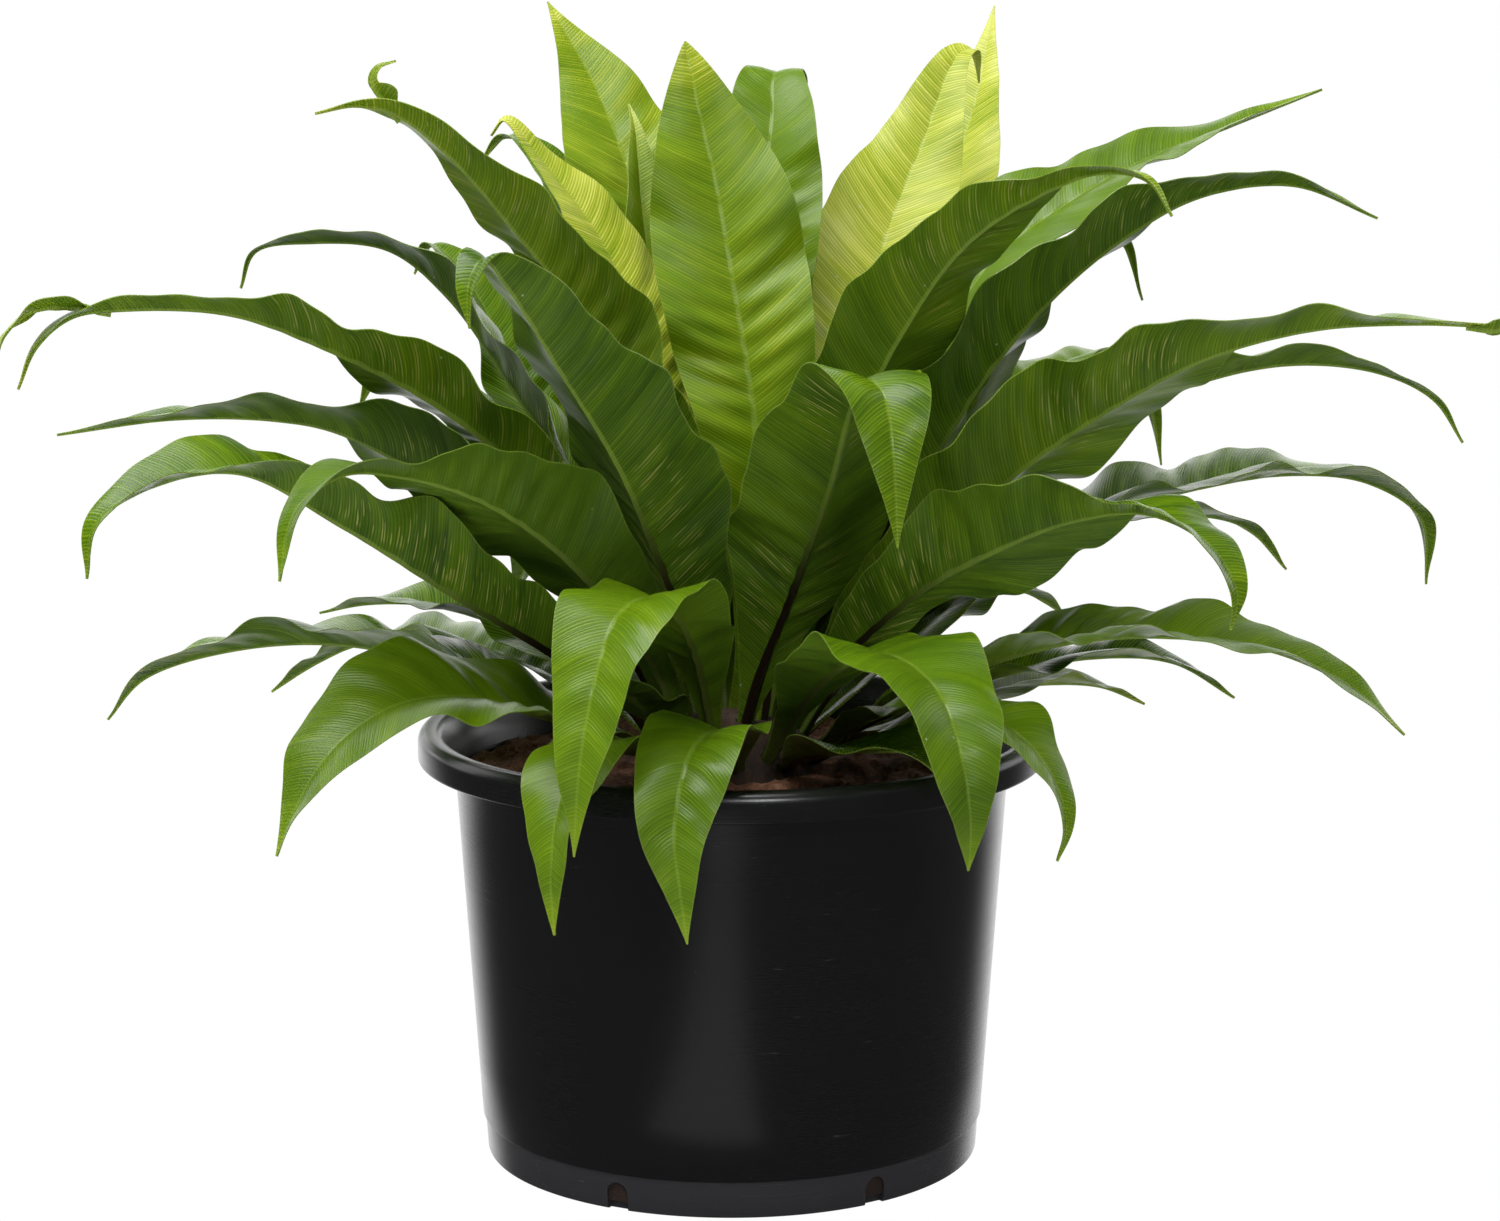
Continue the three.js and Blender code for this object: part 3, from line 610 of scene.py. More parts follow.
class Midrib:
    """A frond's midrib: where it runs, and how its blade is turned there."""

    def __init__(self, heading, twists, path):
        a = math.radians(heading)
        rows = [[*p, 0] if len(p) == 2 else p for p in path]
        route = [
            [out * math.cos(a) - side * math.sin(a), out * math.sin(a) + side * math.cos(a), up]
            for out, up, side in rows
        ]
        self.centre = smooth_route(np.array(route, float) * MM)
        steps = np.linalg.norm(np.diff(self.centre, axis=0), axis=1)
        self.run = np.concatenate([[0], np.cumsum(steps)])
        self.length = self.run[-1]
        tangent = unit(np.gradient(self.centre, self.run, axis=0))
        level = np.array([-math.sin(a), math.cos(a), 0])
        flat = unit(level - tangent * (tangent @ level)[:, None])
        up = np.cross(tangent, flat)
        t = np.radians(along(twists, self.run / self.length))[:, None]
        self.side = flat * np.cos(t) + up * np.sin(t)
        self.normal = up * np.cos(t) - flat * np.sin(t)

    def at(self, run, values):
        """A list that goes with the steps, read at other distances along the midrib."""
        run = np.clip(run, 0, self.length)
        return np.stack([np.interp(run, self.run, values[:, k]) for k in range(3)], axis=-1)


first = FRONDS[0]
print("midrib of", first[0], "is", round(Midrib(first[2], first[5], first[6]).length / MM), "mm long")

# %% [markdown]
# The blade's outline swells from the stalk and draws out to a tip. Its edges wave, and the
# waves run inwards along the veins, which lean forward from the midrib. Smaller pleats lie
# between the veins. All of these are added to the height of a point over the flat blade.

# %% Blade form
STIPE_HALF = 3.6
TIP_HALF = 0.35
WIDEST_AT = 0.46
TAPER = 1.15
STIPE_SHARE = 0.16
WAVE_LENGTH = 66.0
WAVE_HEIGHT = 4.2
RUFFLE_SHARE = 0.35
RUFFLE_RATE = 1.7
RUFFLE_PHASE = 2.3
EDGE_PHASE = 2.1
GOLDEN_ANGLE = 2.399963
VEIN_LEAN = 0.46
LEAN_STARTS = 8
LEAN_ENDS = 5
LEAN_CURVE = 1.2
WAVE_CURVE = 1.35
FRILL_LENGTH = 24.0
FRILL_HEIGHT = 0.8
FRILL_PHASE = 3.1
PLEAT_LENGTH = 14.5
PLEAT_HEIGHT = 1.05
PLEAT_PHASE = 1.7
PLEAT_WANDER = 1.6
PLEAT_PEAK = 0.7
PLEAT_ROUND = 0.8
WANDER_LENGTH = 37.0
WANDER = 1.9
FADE_LENGTH = 23.0
FADE_PHASE = 2.2
FADE = 0.45
ARCH_SHARE = 0.05


def half_width(form, share, base=STIPE_HALF):
    """Half the blade's width at a share of its length."""
    width, widest, taper = form
    share = np.clip(share, 0, 1)
    s = np.clip(share / widest, 0, 1)
    swelling = base + (width / 2 - base) * s * s * (3 - 2 * s)
    s = np.clip((share - widest) / (1 - widest), 0, 1)
    tapering = TIP_HALF + (width / 2 - TIP_HALF) * np.cos(s * math.pi / 2) ** taper
    return np.where(share < widest, swelling, tapering)


def wave_height(run, fullness, phase):
    """How far an edge rises in its long waves."""
    turns = math.tau * run / WAVE_LENGTH
    ruffle = RUFFLE_SHARE * np.sin(RUFFLE_RATE * turns + RUFFLE_PHASE * phase)
    return WAVE_HEIGHT * fullness * (np.sin(turns + phase) + ruffle)


def small_folds(run, reach, fullness, phase):
    """Frills near the edge and pleats between the veins."""
    wander = np.sin(run / WANDER_LENGTH + phase) * WANDER
    frill = np.sin(math.tau * run / FRILL_LENGTH + FRILL_PHASE * phase + wander)
    frill = FRILL_HEIGHT * reach**2 * frill
    pleat = np.sin(math.tau * run / PLEAT_LENGTH + PLEAT_PHASE * phase + PLEAT_WANDER * wander)
    depth = 1 - FADE + FADE * np.sin(run / FADE_LENGTH + FADE_PHASE * phase)
    middle = np.abs(np.sin(math.pi * np.clip(reach, 0, 1) ** PLEAT_PEAK)) ** PLEAT_ROUND
    pleat = PLEAT_HEIGHT * depth * pleat * middle
    return (frill + pleat) * fullness


def blade_surface(midrib, form, fold, phase, share, reach, stalked=True):
    """Points of the upper surface, from shares along the midrib and reaches from -1 to 1."""
    length = midrib.length / MM
    base = STIPE_HALF if stalked else TIP_HALF
    root_half = half_width(form, share, base)
    lead = VEIN_LEAN * root_half * np.minimum(1, LEAN_STARTS * share)
    lead = lead * np.minimum(1, LEAN_ENDS * (1 - share))
    out = np.abs(reach)
    run = share * length + lead * out**LEAN_CURVE
    edge_run = share * length + lead
    half = half_width(form, run / length, base)
    edge_half = half_width(form, edge_run / length, base)
    fullness = np.minimum(1, 2 * edge_half / form[0]) * np.minimum(1, edge_run / length / STIPE_SHARE)
    phase = np.where(reach < 0, phase + EDGE_PHASE, phase)
    rise = math.radians(fold)
    lift = out * half * math.sin(rise) + ARCH_SHARE * half * np.sin(math.pi * out)
    lift = lift + out**WAVE_CURVE * wave_height(edge_run, fullness, phase)
    lift = lift + small_folds(edge_run, out, fullness, phase)
    sideways = np.sign(reach) * out * half * math.cos(rise)
    centre = midrib.at(run * MM, midrib.centre)
    side = unit(midrib.at(run * MM, midrib.side))
    normal = unit(midrib.at(run * MM, midrib.normal))
    points = centre + side * (sideways * MM)[:, None] + normal * (lift * MM)[:, None]
    return points, half


print("edge waves:", WAVE_LENGTH, "mm long,", WAVE_HEIGHT, "mm high")

# %% [markdown]
# A frond starts as a flat grid, with a row of cells about every 2 mm of its length. Its points
# are then set on the blade's form, and a Solidify modifier gives it thickness. The thickness
# follows a vertex group, so the midrib stands out below and the edge stays thin.

# %% Blade meshes
ROW_STEP = 2.2
HALF_COLUMNS = 9
COLUMN_CROWDING = 1.4
STIPE_EDGE_T = 2.2
STIPE_RIB_T = 4.4
EDGE_T = 0.45
MID_T = 0.7
EDGE_BLEND = 3
RIB_T = 2.0
RIB_THINNING = 0.75
RIB_SLOPE = 16
FEWEST_ROWS = 6
NORMAL_STRIDE = 12
SHARP_DEG = 40.0


def only(piece):
    """Selects one object alone and makes it the active one."""
    if bpy.context.mode != "OBJECT":
        bpy.ops.object.mode_set(mode="OBJECT")
    bpy.ops.object.select_all(action="DESELECT")
    piece.select_set(True)
    bpy.context.view_layer.objects.active = piece


def apply_modifier(piece, kind, **settings):
    modifier = piece.modifiers.new(kind.lower(), kind)
    for key, value in settings.items():
        setattr(modifier, key, value)
    only(piece)
    bpy.ops.object.modifier_apply(modifier=modifier.name)


def thickness(share, reach, stalked):
    """The blade's thickness in millimetres."""
    stalk = np.maximum(0, 1 - share / STIPE_SHARE) * stalked
    margin = EDGE_T + (MID_T - EDGE_T) * np.minimum(1, (1 - np.abs(reach)) * EDGE_BLEND)
    rib = RIB_T * (1 - RIB_THINNING * share) * np.maximum(0, 1 - np.abs(reach) * RIB_SLOPE)
    thin = margin + rib
    thick = STIPE_EDGE_T + (STIPE_RIB_T - STIPE_EDGE_T) * (1 - np.abs(reach))
    return thin * (1 - stalk) + thick * stalk


def set_vectors(mesh, name, values):
    attribute = mesh.attributes.get(name) or mesh.attributes.new(name, "FLOAT_VECTOR", "POINT")
    attribute.data.foreach_set("vector", np.ascontiguousarray(values, np.float32).ravel())


def get_vectors(mesh, name):
    values = np.zeros(len(mesh.vertices) * 3, np.float32)
    mesh.attributes[name].data.foreach_get("vector", values)
    return values.reshape(-1, 3)


def polygon_vectors(mesh, name):
    values = np.zeros(len(mesh.polygons) * 3, np.float32)
    mesh.polygons.foreach_get(name, values)
    return values.reshape(-1, 3)


def flat_grid(name, rows):
    """A flat grid, with each point's share of the length and its reach across."""
    bpy.ops.object.select_all(action="DESELECT")
    bpy.ops.mesh.primitive_grid_add(x_subdivisions=2 * HALF_COLUMNS, y_subdivisions=rows, size=2)
    piece = bpy.context.object
    piece.name = name
    flat = get_vectors(piece.data, "position")
    reach = np.sign(flat[:, 0]) * np.abs(flat[:, 0]) ** COLUMN_CROWDING
    share = (1 + flat[:, 1].astype(float)) / 2
    return piece, share, reach


def turn_upwards(mesh, midrib):
    """Turns the faces over if they look away from the midrib's normals."""
    sample = slice(None, None, NORMAL_STRIDE)
    centres = polygon_vectors(mesh, "center")
    gaps = np.linalg.norm(centres[:, None, :] - midrib.centre[None, sample, :], axis=2)
    wanted = midrib.normal[sample][np.argmin(gaps, axis=1)]
    if np.mean(np.sum(polygon_vectors(mesh, "normal") * wanted, axis=1)) < 0:
        mesh.flip_normals()


def thicken(piece, depth):
    """Adds the underside, each point at its own depth in millimetres, and marks it."""
    upper = len(piece.data.vertices)
    most = float(depth.max())
    group = piece.vertex_groups.new(name="depth")
    for k, weight in enumerate(depth / most):
        group.add([k], float(weight), "REPLACE")
    apply_modifier(piece, "SOLIDIFY", thickness=most * MM, offset=-1, vertex_group="depth",
                   thickness_vertex_group=0.0)
    marks = get_vectors(piece.data, "blade")
    marks[upper:, 2] = 1.0
    set_vectors(piece.data, "blade", marks)
    piece.vertex_groups.clear()


def blade_mesh(name, midrib, form, fold, phase, tone, row_step=ROW_STEP, age=0.0):
    """One closed blade on its midrib, with its attributes. A second tip starts at an age over 0."""
    stalked = age == 0
    rows = max(FEWEST_ROWS, round(midrib.length / MM / row_step))
    piece, share, reach = flat_grid(name, rows)
    points, half = blade_surface(midrib, form, fold, phase, share, reach, stalked)
    mesh = piece.data
    mesh.vertices.foreach_set("co", points.astype(np.float32).ravel())
    mesh.update()
    turn_upwards(mesh, midrib)
    none = np.zeros(len(share))
    run = share * midrib.length
    set_vectors(mesh, "blade", np.stack([run, reach * half * MM, none], axis=-1))
    edge = (1 - np.abs(reach)) * half * MM
    set_vectors(mesh, "place", np.stack([age + (1 - age) * share, edge, none + tone], axis=-1))
    thicken(piece, thickness(share, reach, stalked))
    return piece


def finish_piece(piece, node, material):
    """Gives a piece its finish and its place in the model."""
    piece.data.materials.clear()
    piece.data.materials.append(material)
    only(piece)
    bpy.ops.object.shade_smooth_by_angle(angle=math.radians(SHARP_DEG))
    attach(piece, "root")
    if node:
        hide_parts(node)


def join_pieces(pieces):
    if len(pieces) > 1:
        only(pieces[0])
        for piece in pieces[1:]:
            piece.select_set(True)
        bpy.ops.object.join()
    return pieces[0]


print("blade thickness:", EDGE_T, "mm at the edge,", MID_T + RIB_T, "mm at the midrib")

# %% [markdown]
# Now every frond gets its blade. A frond with a second tip is joined with it into one piece,
# and each piece takes the place of the frond's solid.

# %% Fine fronds
TIP_ROW_STEP = 1.5
TIP_FOLD = 10
TIP_WIDEST_AT = 0.35
TIP_AGE = 0.85


def add_frond(number, name, slot, heading, width, fold, twists, path, widest=WIDEST_AT, taper=TAPER):
    tone = tone_of(name, slot)
    phase = GOLDEN_ANGLE * number
    midrib = Midrib(heading, twists, path)
    pieces = [blade_mesh(name + "_blade", midrib, (width, widest, taper), fold, phase, tone)]
    for owner, tip_heading, tip_width, tip_path in SECOND_TIPS:
        if owner == name:
            tip = Midrib(tip_heading, [0, 0], tip_path)
            form = (tip_width, TIP_WIDEST_AT, TAPER)
            pieces.append(blade_mesh("tip", tip, form, TIP_FOLD, phase, tone, TIP_ROW_STEP, TIP_AGE))
    piece = join_pieces(pieces)
    finish_piece(piece, name, LEAF[slot])
    return piece


blades = [add_frond(number, *frond) for number, frond in enumerate(FRONDS)]
print("blades:", len(blades), "faces:", sum(len(b.data.polygons) for b in blades))

# %% [markdown]
# The pot is black polypropylene from a mould: smooth, a little shiny, with very fine rings
# around it and a few scuffs. The photograph shows a soft upright highlight on its wall, so its
# finish is half glossy, and the fine rings are bump from noise stretched around the pot.

# %% Pot finish
FOOT_H = 17.0
STEP_Z = 18.2
POT_BLACK = (0.0045, 0.0045, 0.0050)
# The foot band is painted a lighter grey, a painted reflection.
POT_FOOT_REFLECTION = (0.028, 0.028, 0.031)
POT_SCUFF = (0.060, 0.060, 0.064)
RING_STRETCH = (3, 3, 1500)
CLOUD_SCALE = 9.0
SCUFF_STRETCH = (60, 60, 420)
SCUFF_MARKS = (0.70, 0.76)
SCUFF_ZONES = (0.5, 0.6)
SCUFF_SHARE = 0.35
DUST_SCALE = 130.0
DUST_SIZE = (0.03, 0.05)
DUST_ZONE_SCALE = 31.0
DUST_ZONES = (0.60, 0.66)
DUST_SHARE = 0.5
POT_GLOSS = 0.18
ROUGHER_RINGS = 0.06
ROUGHER_CLOUD = 0.10
ROUGHER_SCUFFS = 0.15
CLOUD_RELIEF = 0.8
POT_RELIEF = 0.10 * MM
POT_BUMP = 0.6
PLASTIC_IOR = 1.49


def pot_finish():
    f = Finish("moulded_black")
    place = f.object_place()
    rings = f.noise(f.object_place(RING_STRETCH), 1.0, 3.0, 0.6)
    cloud = f.noise(place, CLOUD_SCALE, 3.0)
    scuffs = f.noise(f.object_place(SCUFF_STRETCH), 1.0, 2.0, 0.7)
    scuffed = f.ease(scuffs, *SCUFF_MARKS) * f.ease(cloud, *SCUFF_ZONES)
    dust = 1 - f.ease(f.cells(place, DUST_SCALE), *DUST_SIZE)
    dusty = dust * f.ease(f.noise(place, DUST_ZONE_SCALE, 0.0), *DUST_ZONES)
    colour = f.mix(scuffed * SCUFF_SHARE, POT_BLACK, POT_SCUFF)
    colour = f.mix(dusty * DUST_SHARE, colour, POT_SCUFF)
    # Painted reflection: the foot band under the step is painted a lighter grey than the wall.
    foot = 1 - f.ease(f.height(place), FOOT_H * MM, STEP_Z * MM)
    roughness = rings * ROUGHER_RINGS + cloud * ROUGHER_CLOUD + scuffed * ROUGHER_SCUFFS
    return f.done({
        "Base Color": f.mix(foot, colour, POT_FOOT_REFLECTION),
        "Roughness": roughness + POT_GLOSS,
        "Normal": f.bump(rings + cloud * CLOUD_RELIEF, POT_RELIEF, POT_BUMP),
        "IOR": PLASTIC_IOR,
    })


POT_PLASTIC = pot_finish()

# %% [markdown]
# The pot is turned in one piece, like a potter would: a disc for the underside is extruded
# upwards ring by ring and scaled to each radius, over the rolled rim and down the inside to
# the floor. Six cutters then take the drain notches out of its foot.

# %% Pot sizes
POT_SIDES = 160
BASE_R = 118.8
CHAMFER = 1.2
CORNER = 0.3
FOOT_R = 119.8
FOOT_DRAFT = 0.1
STEP_EASE = 0.5
STEP_R = 121.0
WALL_TOP_R = 132.6
WALL_TOP_Z = 190.5
WALL_T = 2.2
FLOOR_T = 3.2
FLOOR_CORNER = 1
WALL_STEPS = 6
UNDER_RIM = [(133.6, 193.0), (138.0, 195.4), (144.4, 195.0), (145.6, 192.3)]
LIP_INNER = (146.2, 191.8)
LIP_CENTRE = (148.2, 193.6)
LIP_RADII = (1.8, 1.9)
LIP_STEPS = 5
SHOULDER_CENTRE = (145.2, 201.0)
SHOULDER_RADII = (4.8, 5.2)
SHOULDER_END_DEG = 80
SHOULDER_STEPS = 7
RIM_INNER = [(142.0, 206.0), (139.4, 204.9), (138.2, 203.2)]
NOTCHES = 6
NOTCH_PHASE_DEG = 34.0
NOTCH_W = 10.5
NOTCH_H = 13.5
NOTCH_SIDES = 24
NOTCH_FROM_R = 115.4
NOTCH_THROUGH = 9.0
WELD = 0.01
print("pot:", 2 * (LIP_CENTRE[0] + LIP_RADII[0]), "mm wide,", RIM_INNER[0][1], "mm high")

# %% Pot


def bend(centre, radii, start, end, steps):
    """Points of [radius, height] on a quarter or so of an ellipse, in degrees."""
    angles = [math.radians(start + (end - start) * k / steps) for k in range(steps + 1)]
    return [(centre[0] + radii[0] * math.cos(a), centre[1] + radii[1] * math.sin(a)) for a in angles]


def between(first, last, steps):
    return [(first[0] + (last[0] - first[0]) * k / steps, first[1] + (last[1] - first[1]) * k / steps)
            for k in range(1, steps)]


def pot_profile():
    foot = [(BASE_R - CHAMFER, 0), (BASE_R - CORNER, CORNER), (BASE_R, CHAMFER), (FOOT_R, FOOT_H)]
    step = [(FOOT_R + FOOT_DRAFT, FOOT_H + STEP_EASE), (STEP_R - CORNER, STEP_Z - STEP_EASE)]
    wall_ends = [(STEP_R, STEP_Z), (WALL_TOP_R, WALL_TOP_Z)]
    wall = [wall_ends[0], *between(*wall_ends, WALL_STEPS), wall_ends[1]]
    lip = [LIP_INNER, *bend(LIP_CENTRE, LIP_RADII, -90, 0, LIP_STEPS)]
    shoulder = bend(SHOULDER_CENTRE, SHOULDER_RADII, 0, SHOULDER_END_DEG, SHOULDER_STEPS)
    inner_wall = [(WALL_TOP_R - WALL_T, WALL_TOP_Z), (STEP_R - WALL_T, STEP_Z)]
    floor = [(STEP_R - WALL_T - FLOOR_CORNER, FLOOR_T)]
    return foot + step + wall + UNDER_RIM + lip + shoulder + RIM_INNER + inner_wall + floor


def turn_profile(name, profile, sides):
    """Extrudes a disc along a profile of [radius, height] in millimetres."""
    bpy.ops.object.select_all(action="DESELECT")
    radius, height = profile[0]
    bpy.ops.mesh.primitive_circle_add(vertices=sides, radius=radius * MM, fill_type="NGON",
                                      location=(0, 0, height * MM))
    piece = bpy.context.object
    piece.name = name
    bpy.ops.object.transform_apply(location=True, rotation=False, scale=False)
    bpy.ops.object.mode_set(mode="EDIT")
    bpy.ops.mesh.select_all(action="SELECT")
    for next_radius, next_height in profile[1:]:
        rise = (0, 0, (next_height - height) * MM)
        bpy.ops.mesh.extrude_region_move(TRANSFORM_OT_translate={"value": rise})
        ratio = next_radius / radius
        bpy.ops.transform.resize(value=(ratio, ratio, 1), center_override=(0, 0, next_height * MM))
        radius, height = next_radius, next_height
    bpy.ops.mesh.select_all(action="SELECT")
    bpy.ops.mesh.remove_doubles(threshold=WELD * MM)
    bpy.ops.mesh.normals_make_consistent(inside=False)
    bpy.ops.object.mode_set(mode="OBJECT")
    return piece


def notch_cutter(angle):
    """An upright slot with a round top, set radially through the foot."""
    radius = NOTCH_W / 2
    bpy.ops.object.select_all(action="DESELECT")
    bpy.ops.mesh.primitive_cylinder_add(vertices=NOTCH_SIDES, radius=radius * MM,
                                        depth=NOTCH_THROUGH * MM)
    cutter = bpy.context.object
    turn = Matrix.Rotation(angle, 4, "Z") @ Matrix.Rotation(math.pi / 2, 4, "Y")
    reach = (NOTCH_FROM_R + NOTCH_THROUGH / 2) * MM
    place = Vector((reach * math.cos(angle), reach * math.sin(angle), (NOTCH_H - radius) * MM))
    cutter.data.transform(Matrix.Translation(place) @ turn)
    for vertex in cutter.data.vertices:
        if vertex.co.z < place.z - WELD * MM:
            vertex.co.z -= NOTCH_H * MM
    return cutter


def add_pot():
    pot = turn_profile("pot_body", pot_profile(), POT_SIDES)
    angles = [math.radians(NOTCH_PHASE_DEG - 90 + 360 / NOTCHES * k) for k in range(NOTCHES)]
    cutters = join_pieces([notch_cutter(a) for a in angles])
    apply_modifier(pot, "BOOLEAN", operation="DIFFERENCE", object=cutters, solver="EXACT")
    bpy.data.objects.remove(cutters)
    finish_piece(pot, "pot", POT_PLASTIC)
    return pot


print("pot faces:", len(add_pot().data.polygons))

# %% [markdown]
# The soil is coir: reddish brown, dry and crumbly, with short fibres standing out. A disc is
# turned with many rings and lifted by noise of three sizes, for clods, lumps and grains. Then
# loose crumbs and fibres are laid on it, each modelled once and copied.

# %% Soil finish
SOIL_DARK = (0.028, 0.013, 0.008)
SOIL_RED = (0.300, 0.135, 0.075)
SOIL_TAN = (0.560, 0.330, 0.200)
# Painted shade for the soil low in the pot, where it shows through the drain notches.
SOIL_PAINTED_SHADE = (0.022, 0.011, 0.007)
SOIL_TONES = [(0.30, SOIL_DARK), (0.55, SOIL_RED), (0.80, SOIL_TAN)]
GRAIN_SCALE = 260.0
GRAIN_SHARE = 0.6
CLOD_SCALE = 60.0
SOIL_SHADE_ZONE = (60 * MM, 120 * MM)
SOIL_ROUGHNESS = 0.95
SOIL_RELIEF = 1.2 * MM


def soil_finish():
    f = Finish("coir_soil")
    place = f.object_place()
    grain = f.noise(place, GRAIN_SCALE, 4.0, 0.7)
    clods = f.noise(place, CLOD_SCALE, 3.0)
    colour = f.ramp(grain * GRAIN_SHARE + clods * (1 - GRAIN_SHARE), SOIL_TONES)
    # Painted shade: low down, where the soil shows through the drain notches, it is painted nearly black.
    colour = f.mix(f.ease(f.height(place), *SOIL_SHADE_ZONE), SOIL_PAINTED_SHADE, colour)
    return f.done({
        "Base Color": colour,
        "Roughness": SOIL_ROUGHNESS,
        "Normal": f.bump(grain, SOIL_RELIEF),
    })


COIR = soil_finish()

# %% Soil
SOIL_SIDES = 150
SOIL_WALL_Z = 184.0
SOIL_MIDDLE_Z = 187.0
SOIL_MIDDLE_R = 44
SOIL_LOW_Z = 3.7
SOIL_CLEAR_TOP = 1.2
SOIL_CLEAR_FOOT = 1.4
SOIL_TOP_RINGS = 46
SOIL_IN_R = 24.0
CLODS = (16, 4.0, (0, 0, 0))
LUMPS = (6.5, 2.0, (5, 1, 9))
GRAINS = (2.6, 1.1, (2, 7, 4))


def soil_height(x, y):
    """The height of the lumpy surface, all in millimetres."""
    share = (WALL_TOP_R - math.hypot(x, y)) / (WALL_TOP_R - SOIL_MIDDLE_R)
    height = SOIL_WALL_Z + (SOIL_MIDDLE_Z - SOIL_WALL_Z) * min(1, max(0, share))
    for size, swell, shift in (CLODS, LUMPS, GRAINS):
        height += noise.noise(Vector((x, y, 0)) / size + Vector(shift)) * swell
    return height


def add_soil():
    wall_r = WALL_TOP_R - WALL_T - SOIL_CLEAR_TOP
    profile = [(STEP_R - WALL_T - SOIL_CLEAR_FOOT, SOIL_LOW_Z), (wall_r, SOIL_WALL_Z)]
    profile += [(wall_r + (SOIL_IN_R - wall_r) * k / SOIL_TOP_RINGS, SOIL_MIDDLE_Z)
                for k in range(1, SOIL_TOP_RINGS + 1)]
    soil = turn_profile("soil_surface", profile, SOIL_SIDES)
    for vertex in soil.data.vertices:
        if vertex.co.z > (SOIL_WALL_Z - 1) * MM:
            vertex.co.z = soil_height(vertex.co.x / MM, vertex.co.y / MM) * MM
    return soil


print("soil height in the middle:", round(soil_height(0, 0), 1), "mm")

# %% Crumbs and fibres
LITTER_FROM_R = 52.0
LITTER_TO_R = 126.0
CRUMBS = 620
CRUMB_SIZES = (0.7, 2.6)
CRUMB_SINK = 0.3
CRUMB_DENTS = 0.45
CRUMB_DENT_SIZE = 0.9
CRUMB_SHAPE = (1.0, 0.8, 0.6, 1)
FIBRES = 420
FIBRE_SIZES = (0.5, 1.3)
FIBRE_SINK = 0.4
FIBRE_R = 0.16
FIBRE_LENGTH = 14
FIBRE_CUTS = (-4.2, -1.4, 1.4, 4.2)
FIBRE_BOW = 3.0
FIBRE_WAVE = 1.2
FIBRE_WAVE_TURN = 3


def scatter(piece, count, rng, sizes, sink):
    """Copies a piece over the soil, each turned and scaled on its own, and joins the copies."""
    copies = []
    for _ in range(count):
        copy = piece.copy()
        copy.data = piece.data.copy()
        bpy.context.collection.objects.link(copy)
        angle = rng.uniform(0, math.tau)
        radius = math.sqrt(rng.uniform(LITTER_FROM_R**2, LITTER_TO_R**2))
        x, y = radius * math.cos(angle), radius * math.sin(angle)
        place = Vector((x, y, soil_height(x, y) - sink)) * MM
        turn = Matrix.Rotation(rng.uniform(0, math.tau), 4, Vector(unit(rng.normal(size=3))))
        tilt = Matrix.Rotation(rng.uniform(0, math.tau), 4, "Z")
        size = rng.uniform(*sizes)
        copy.data.transform(Matrix.Translation(place) @ tilt @ turn @ Matrix.Scale(size, 4))
        copies.append(copy)
    bpy.data.objects.remove(piece)
    return join_pieces(copies)


def crumb():
    """A dented, flattened ball, 1 mm in radius."""
    bpy.ops.object.select_all(action="DESELECT")
    bpy.ops.mesh.primitive_ico_sphere_add(subdivisions=2, radius=1 * MM)
    piece = bpy.context.object
    for vertex in piece.data.vertices:
        vertex.co *= 1 + CRUMB_DENTS * noise.noise(vertex.co / (CRUMB_DENT_SIZE * MM))
    piece.data.transform(Matrix.Diagonal(CRUMB_SHAPE))
    return piece


def fibre():
    """A short curved strand of coir with three sides."""
    bpy.ops.object.select_all(action="DESELECT")
    bpy.ops.mesh.primitive_cylinder_add(vertices=3, radius=FIBRE_R * MM, depth=FIBRE_LENGTH * MM)
    piece = bpy.context.object
    bpy.ops.object.mode_set(mode="EDIT")
    for height in FIBRE_CUTS:
        bpy.ops.mesh.select_all(action="SELECT")
        bpy.ops.mesh.bisect(plane_co=(0, 0, height * MM), plane_no=(0, 0, 1))
    bpy.ops.object.mode_set(mode="OBJECT")
    for vertex in piece.data.vertices:
        share = vertex.co.z / (FIBRE_LENGTH / 2 * MM)
        vertex.co.x += FIBRE_BOW * MM * share * share
        vertex.co.y += FIBRE_WAVE * MM * math.sin(FIBRE_WAVE_TURN * share)
    piece.data.transform(Matrix.Rotation(math.pi / 2, 4, "Y"))
    return piece


def add_soil_and_litter():
    rng = np.random.default_rng(SEED)
    soil = add_soil()
    finish_piece(soil, "soil", COIR)
    litter = {"soil_crumbs": scatter(crumb(), CRUMBS, rng, CRUMB_SIZES, CRUMB_SINK),
              "soil_fibres": scatter(fibre(), FIBRES, rng, FIBRE_SIZES, FIBRE_SINK)}
    for name, piece in litter.items():
        piece.name = name
        finish_piece(piece, None, COIR)
    return [soil, *litter.values()]


print("soil pieces:", [(p.name, len(p.data.polygons)) for p in add_soil_and_litter()])

# %% [markdown]
# The crown is the short stem. Its solid already has the dome with a socket for every frond,
# so the solid itself stays and only takes a finish like old dark fibre.

# %% Crown
CROWN_DARK = (0.010, 0.006, 0.004)
CROWN_BROWN = (0.080, 0.040, 0.018)
CROWN_TONES = [(0.35, CROWN_DARK), (0.75, CROWN_BROWN)]
CROWN_STRETCH = (1, 1, 0.35)
STRAND_SCALE = 320.0
STRAND_SHARE = 0.7
CROWN_PATCH_SCALE = 50.0
CROWN_ROUGHNESS = 0.8
CROWN_RELIEF = 0.8 * MM


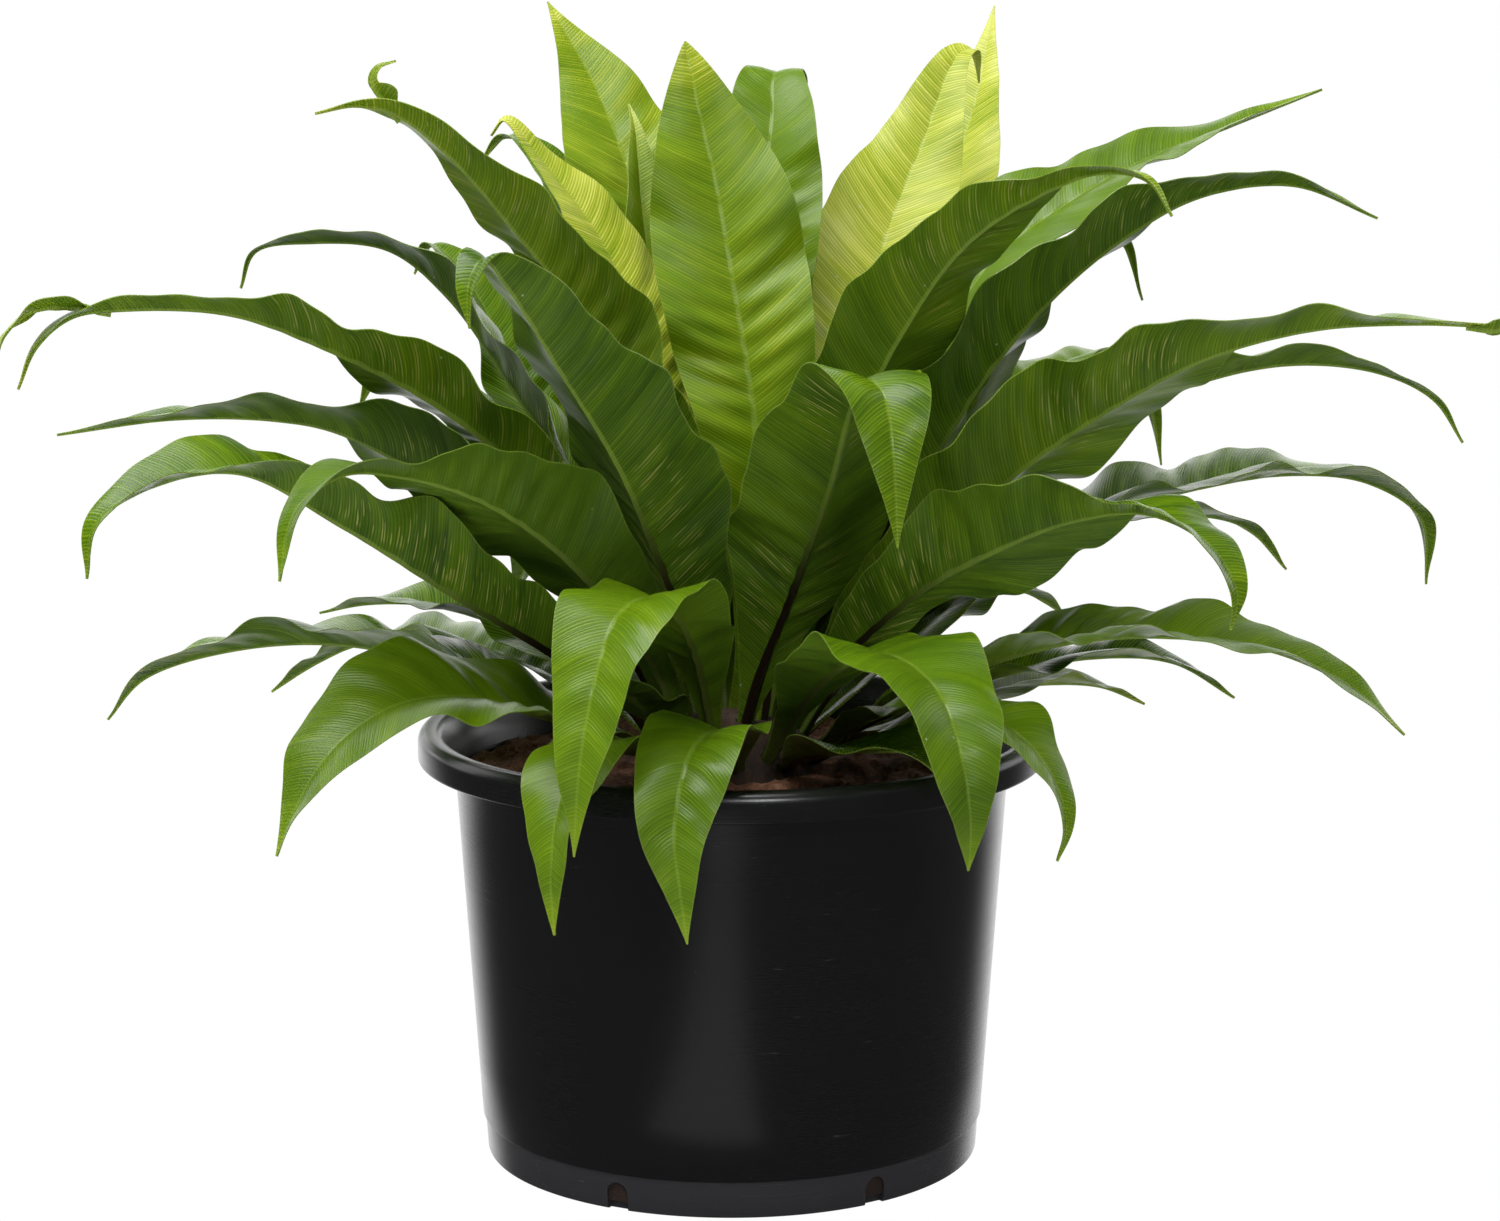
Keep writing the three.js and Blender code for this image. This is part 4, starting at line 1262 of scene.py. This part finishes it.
def crown_finish():
    f = Finish("crown_fibre")
    place = f.object_place(CROWN_STRETCH)
    strands = f.noise(place, STRAND_SCALE, 3.0, 0.7)
    patches = f.noise(place, CROWN_PATCH_SCALE, 2.0)
    colour = f.ramp(strands * STRAND_SHARE + patches * (1 - STRAND_SHARE), CROWN_TONES)
    bump = f.bump(strands, CROWN_RELIEF)
    return f.done({"Base Color": colour, "Roughness": CROWN_ROUGHNESS, "Normal": bump})


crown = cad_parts["crown"]
crown.data.materials.clear()
crown.data.materials.append(crown_finish())
print("dressed solid:", crown.name)

# %% [markdown]
# Plain soft studio light. The floor is pale and the air around is white. A large soft panel
# hangs over the plant, two stand behind on both sides for the bright edges of the pot, one in
# front lights the rim, and a low strip just before the pot makes the soft upright highlight on
# its wall. The floor is kept out of mirrored light, since the photograph shows no pale floor
# in the pot's wall.

# %% Floor and light
FLOOR_HALF = 60.0
PANELS = [
    ("over", (-0.6, -0.5, 2.1), (0.0, 0.0, 0.3), (1.5, 1.5), 62),
    ("left_back", (-2.0, 1.2, 1.1), (0.0, 0.0, 0.3), (1.6, 1.6), 12),
    ("right_back", (2.0, 1.2, 1.1), (0.0, 0.0, 0.3), (1.6, 1.6), 14),
    ("front", (0.55, -2.6, 1.6), (0.0, 0.0, 0.2), (0.5, 0.5), 22),
    ("low_front", (-0.03, -0.57, 0.004), (-0.03, -0.57, 1.0), (0.12, 0.8), 0.12),
]
FILM_WHITE = 1.0
WHITE = (1, 1, 1, 1)
PAPER = (0.8, 0.8, 0.8, 1)
PAPER_ROUGHNESS = 0.9
AIR_FRONT = 0.10
AIR_BACK = 1.60
BACK_ZONE = (0.6, 0.97)
AIR_ABOVE = 0.25
ABOVE_ZONE = (0.0, 0.9)


def add_panel(name, place, target, size, power):
    turn = (Vector(target) - Vector(place)).to_track_quat("-Z", "Y").to_euler()
    bpy.ops.object.light_add(type="AREA", location=place, rotation=turn)
    panel = bpy.context.object
    panel.name = "panel_" + name
    panel.data.shape = "RECTANGLE"
    panel.data.size, panel.data.size_y = size
    panel.data.energy = power
    return panel


def add_floor():
    """A pale floor that the camera sees as plain white, as in a bright studio."""
    f = Finish("pale_floor")
    sockets = {"Base Color": PAPER, "Roughness": PAPER_ROUGHNESS}
    paper = f.add("ShaderNodeBsdfPrincipled", None, sockets)
    white = f.add("ShaderNodeEmission", None, {"Color": WHITE, "Strength": FILM_WHITE})
    seen = f.add("ShaderNodeLightPath")
    surface = f.add("ShaderNodeMixShader", None, {0: seen, 1: paper, 2: white})
    f.add("ShaderNodeOutputMaterial", None, {"Surface": surface})
    bpy.ops.object.select_all(action="DESELECT")
    bpy.ops.mesh.primitive_plane_add(size=2 * FLOOR_HALF)
    floor = bpy.context.object
    floor.name = "floor"
    floor.data.materials.append(f.material)
    floor.visible_glossy = False


def set_air():
    """White all round for the camera. It lights the plant most from behind and above."""
    f = Finish("white_air", "worlds")
    direction = f.add("ShaderNodeTexCoord")
    _, y, z = [f.add("ShaderNodeSeparateXYZ", None, {0: direction}, k) for k in range(3)]
    light = f.ease(y, *BACK_ZONE) * AIR_BACK + f.ease(z, *ABOVE_ZONE) * AIR_ABOVE + AIR_FRONT
    seen = f.add("ShaderNodeLightPath")
    strength = seen * FILM_WHITE + (1 - seen) * light
    air = f.add("ShaderNodeBackground", None, {"Color": WHITE, "Strength": strength})
    f.add("ShaderNodeOutputWorld", None, {"Surface": air})
    bpy.context.scene.world = f.material


for panel in PANELS:
    add_panel(*panel)
add_floor()
set_air()
bpy.context.scene.view_settings.view_transform = "Standard"
print("panels:", len(PANELS))

# %% [markdown]
# Last, the view layer is updated.

# %% Update
bpy.context.view_layer.update()
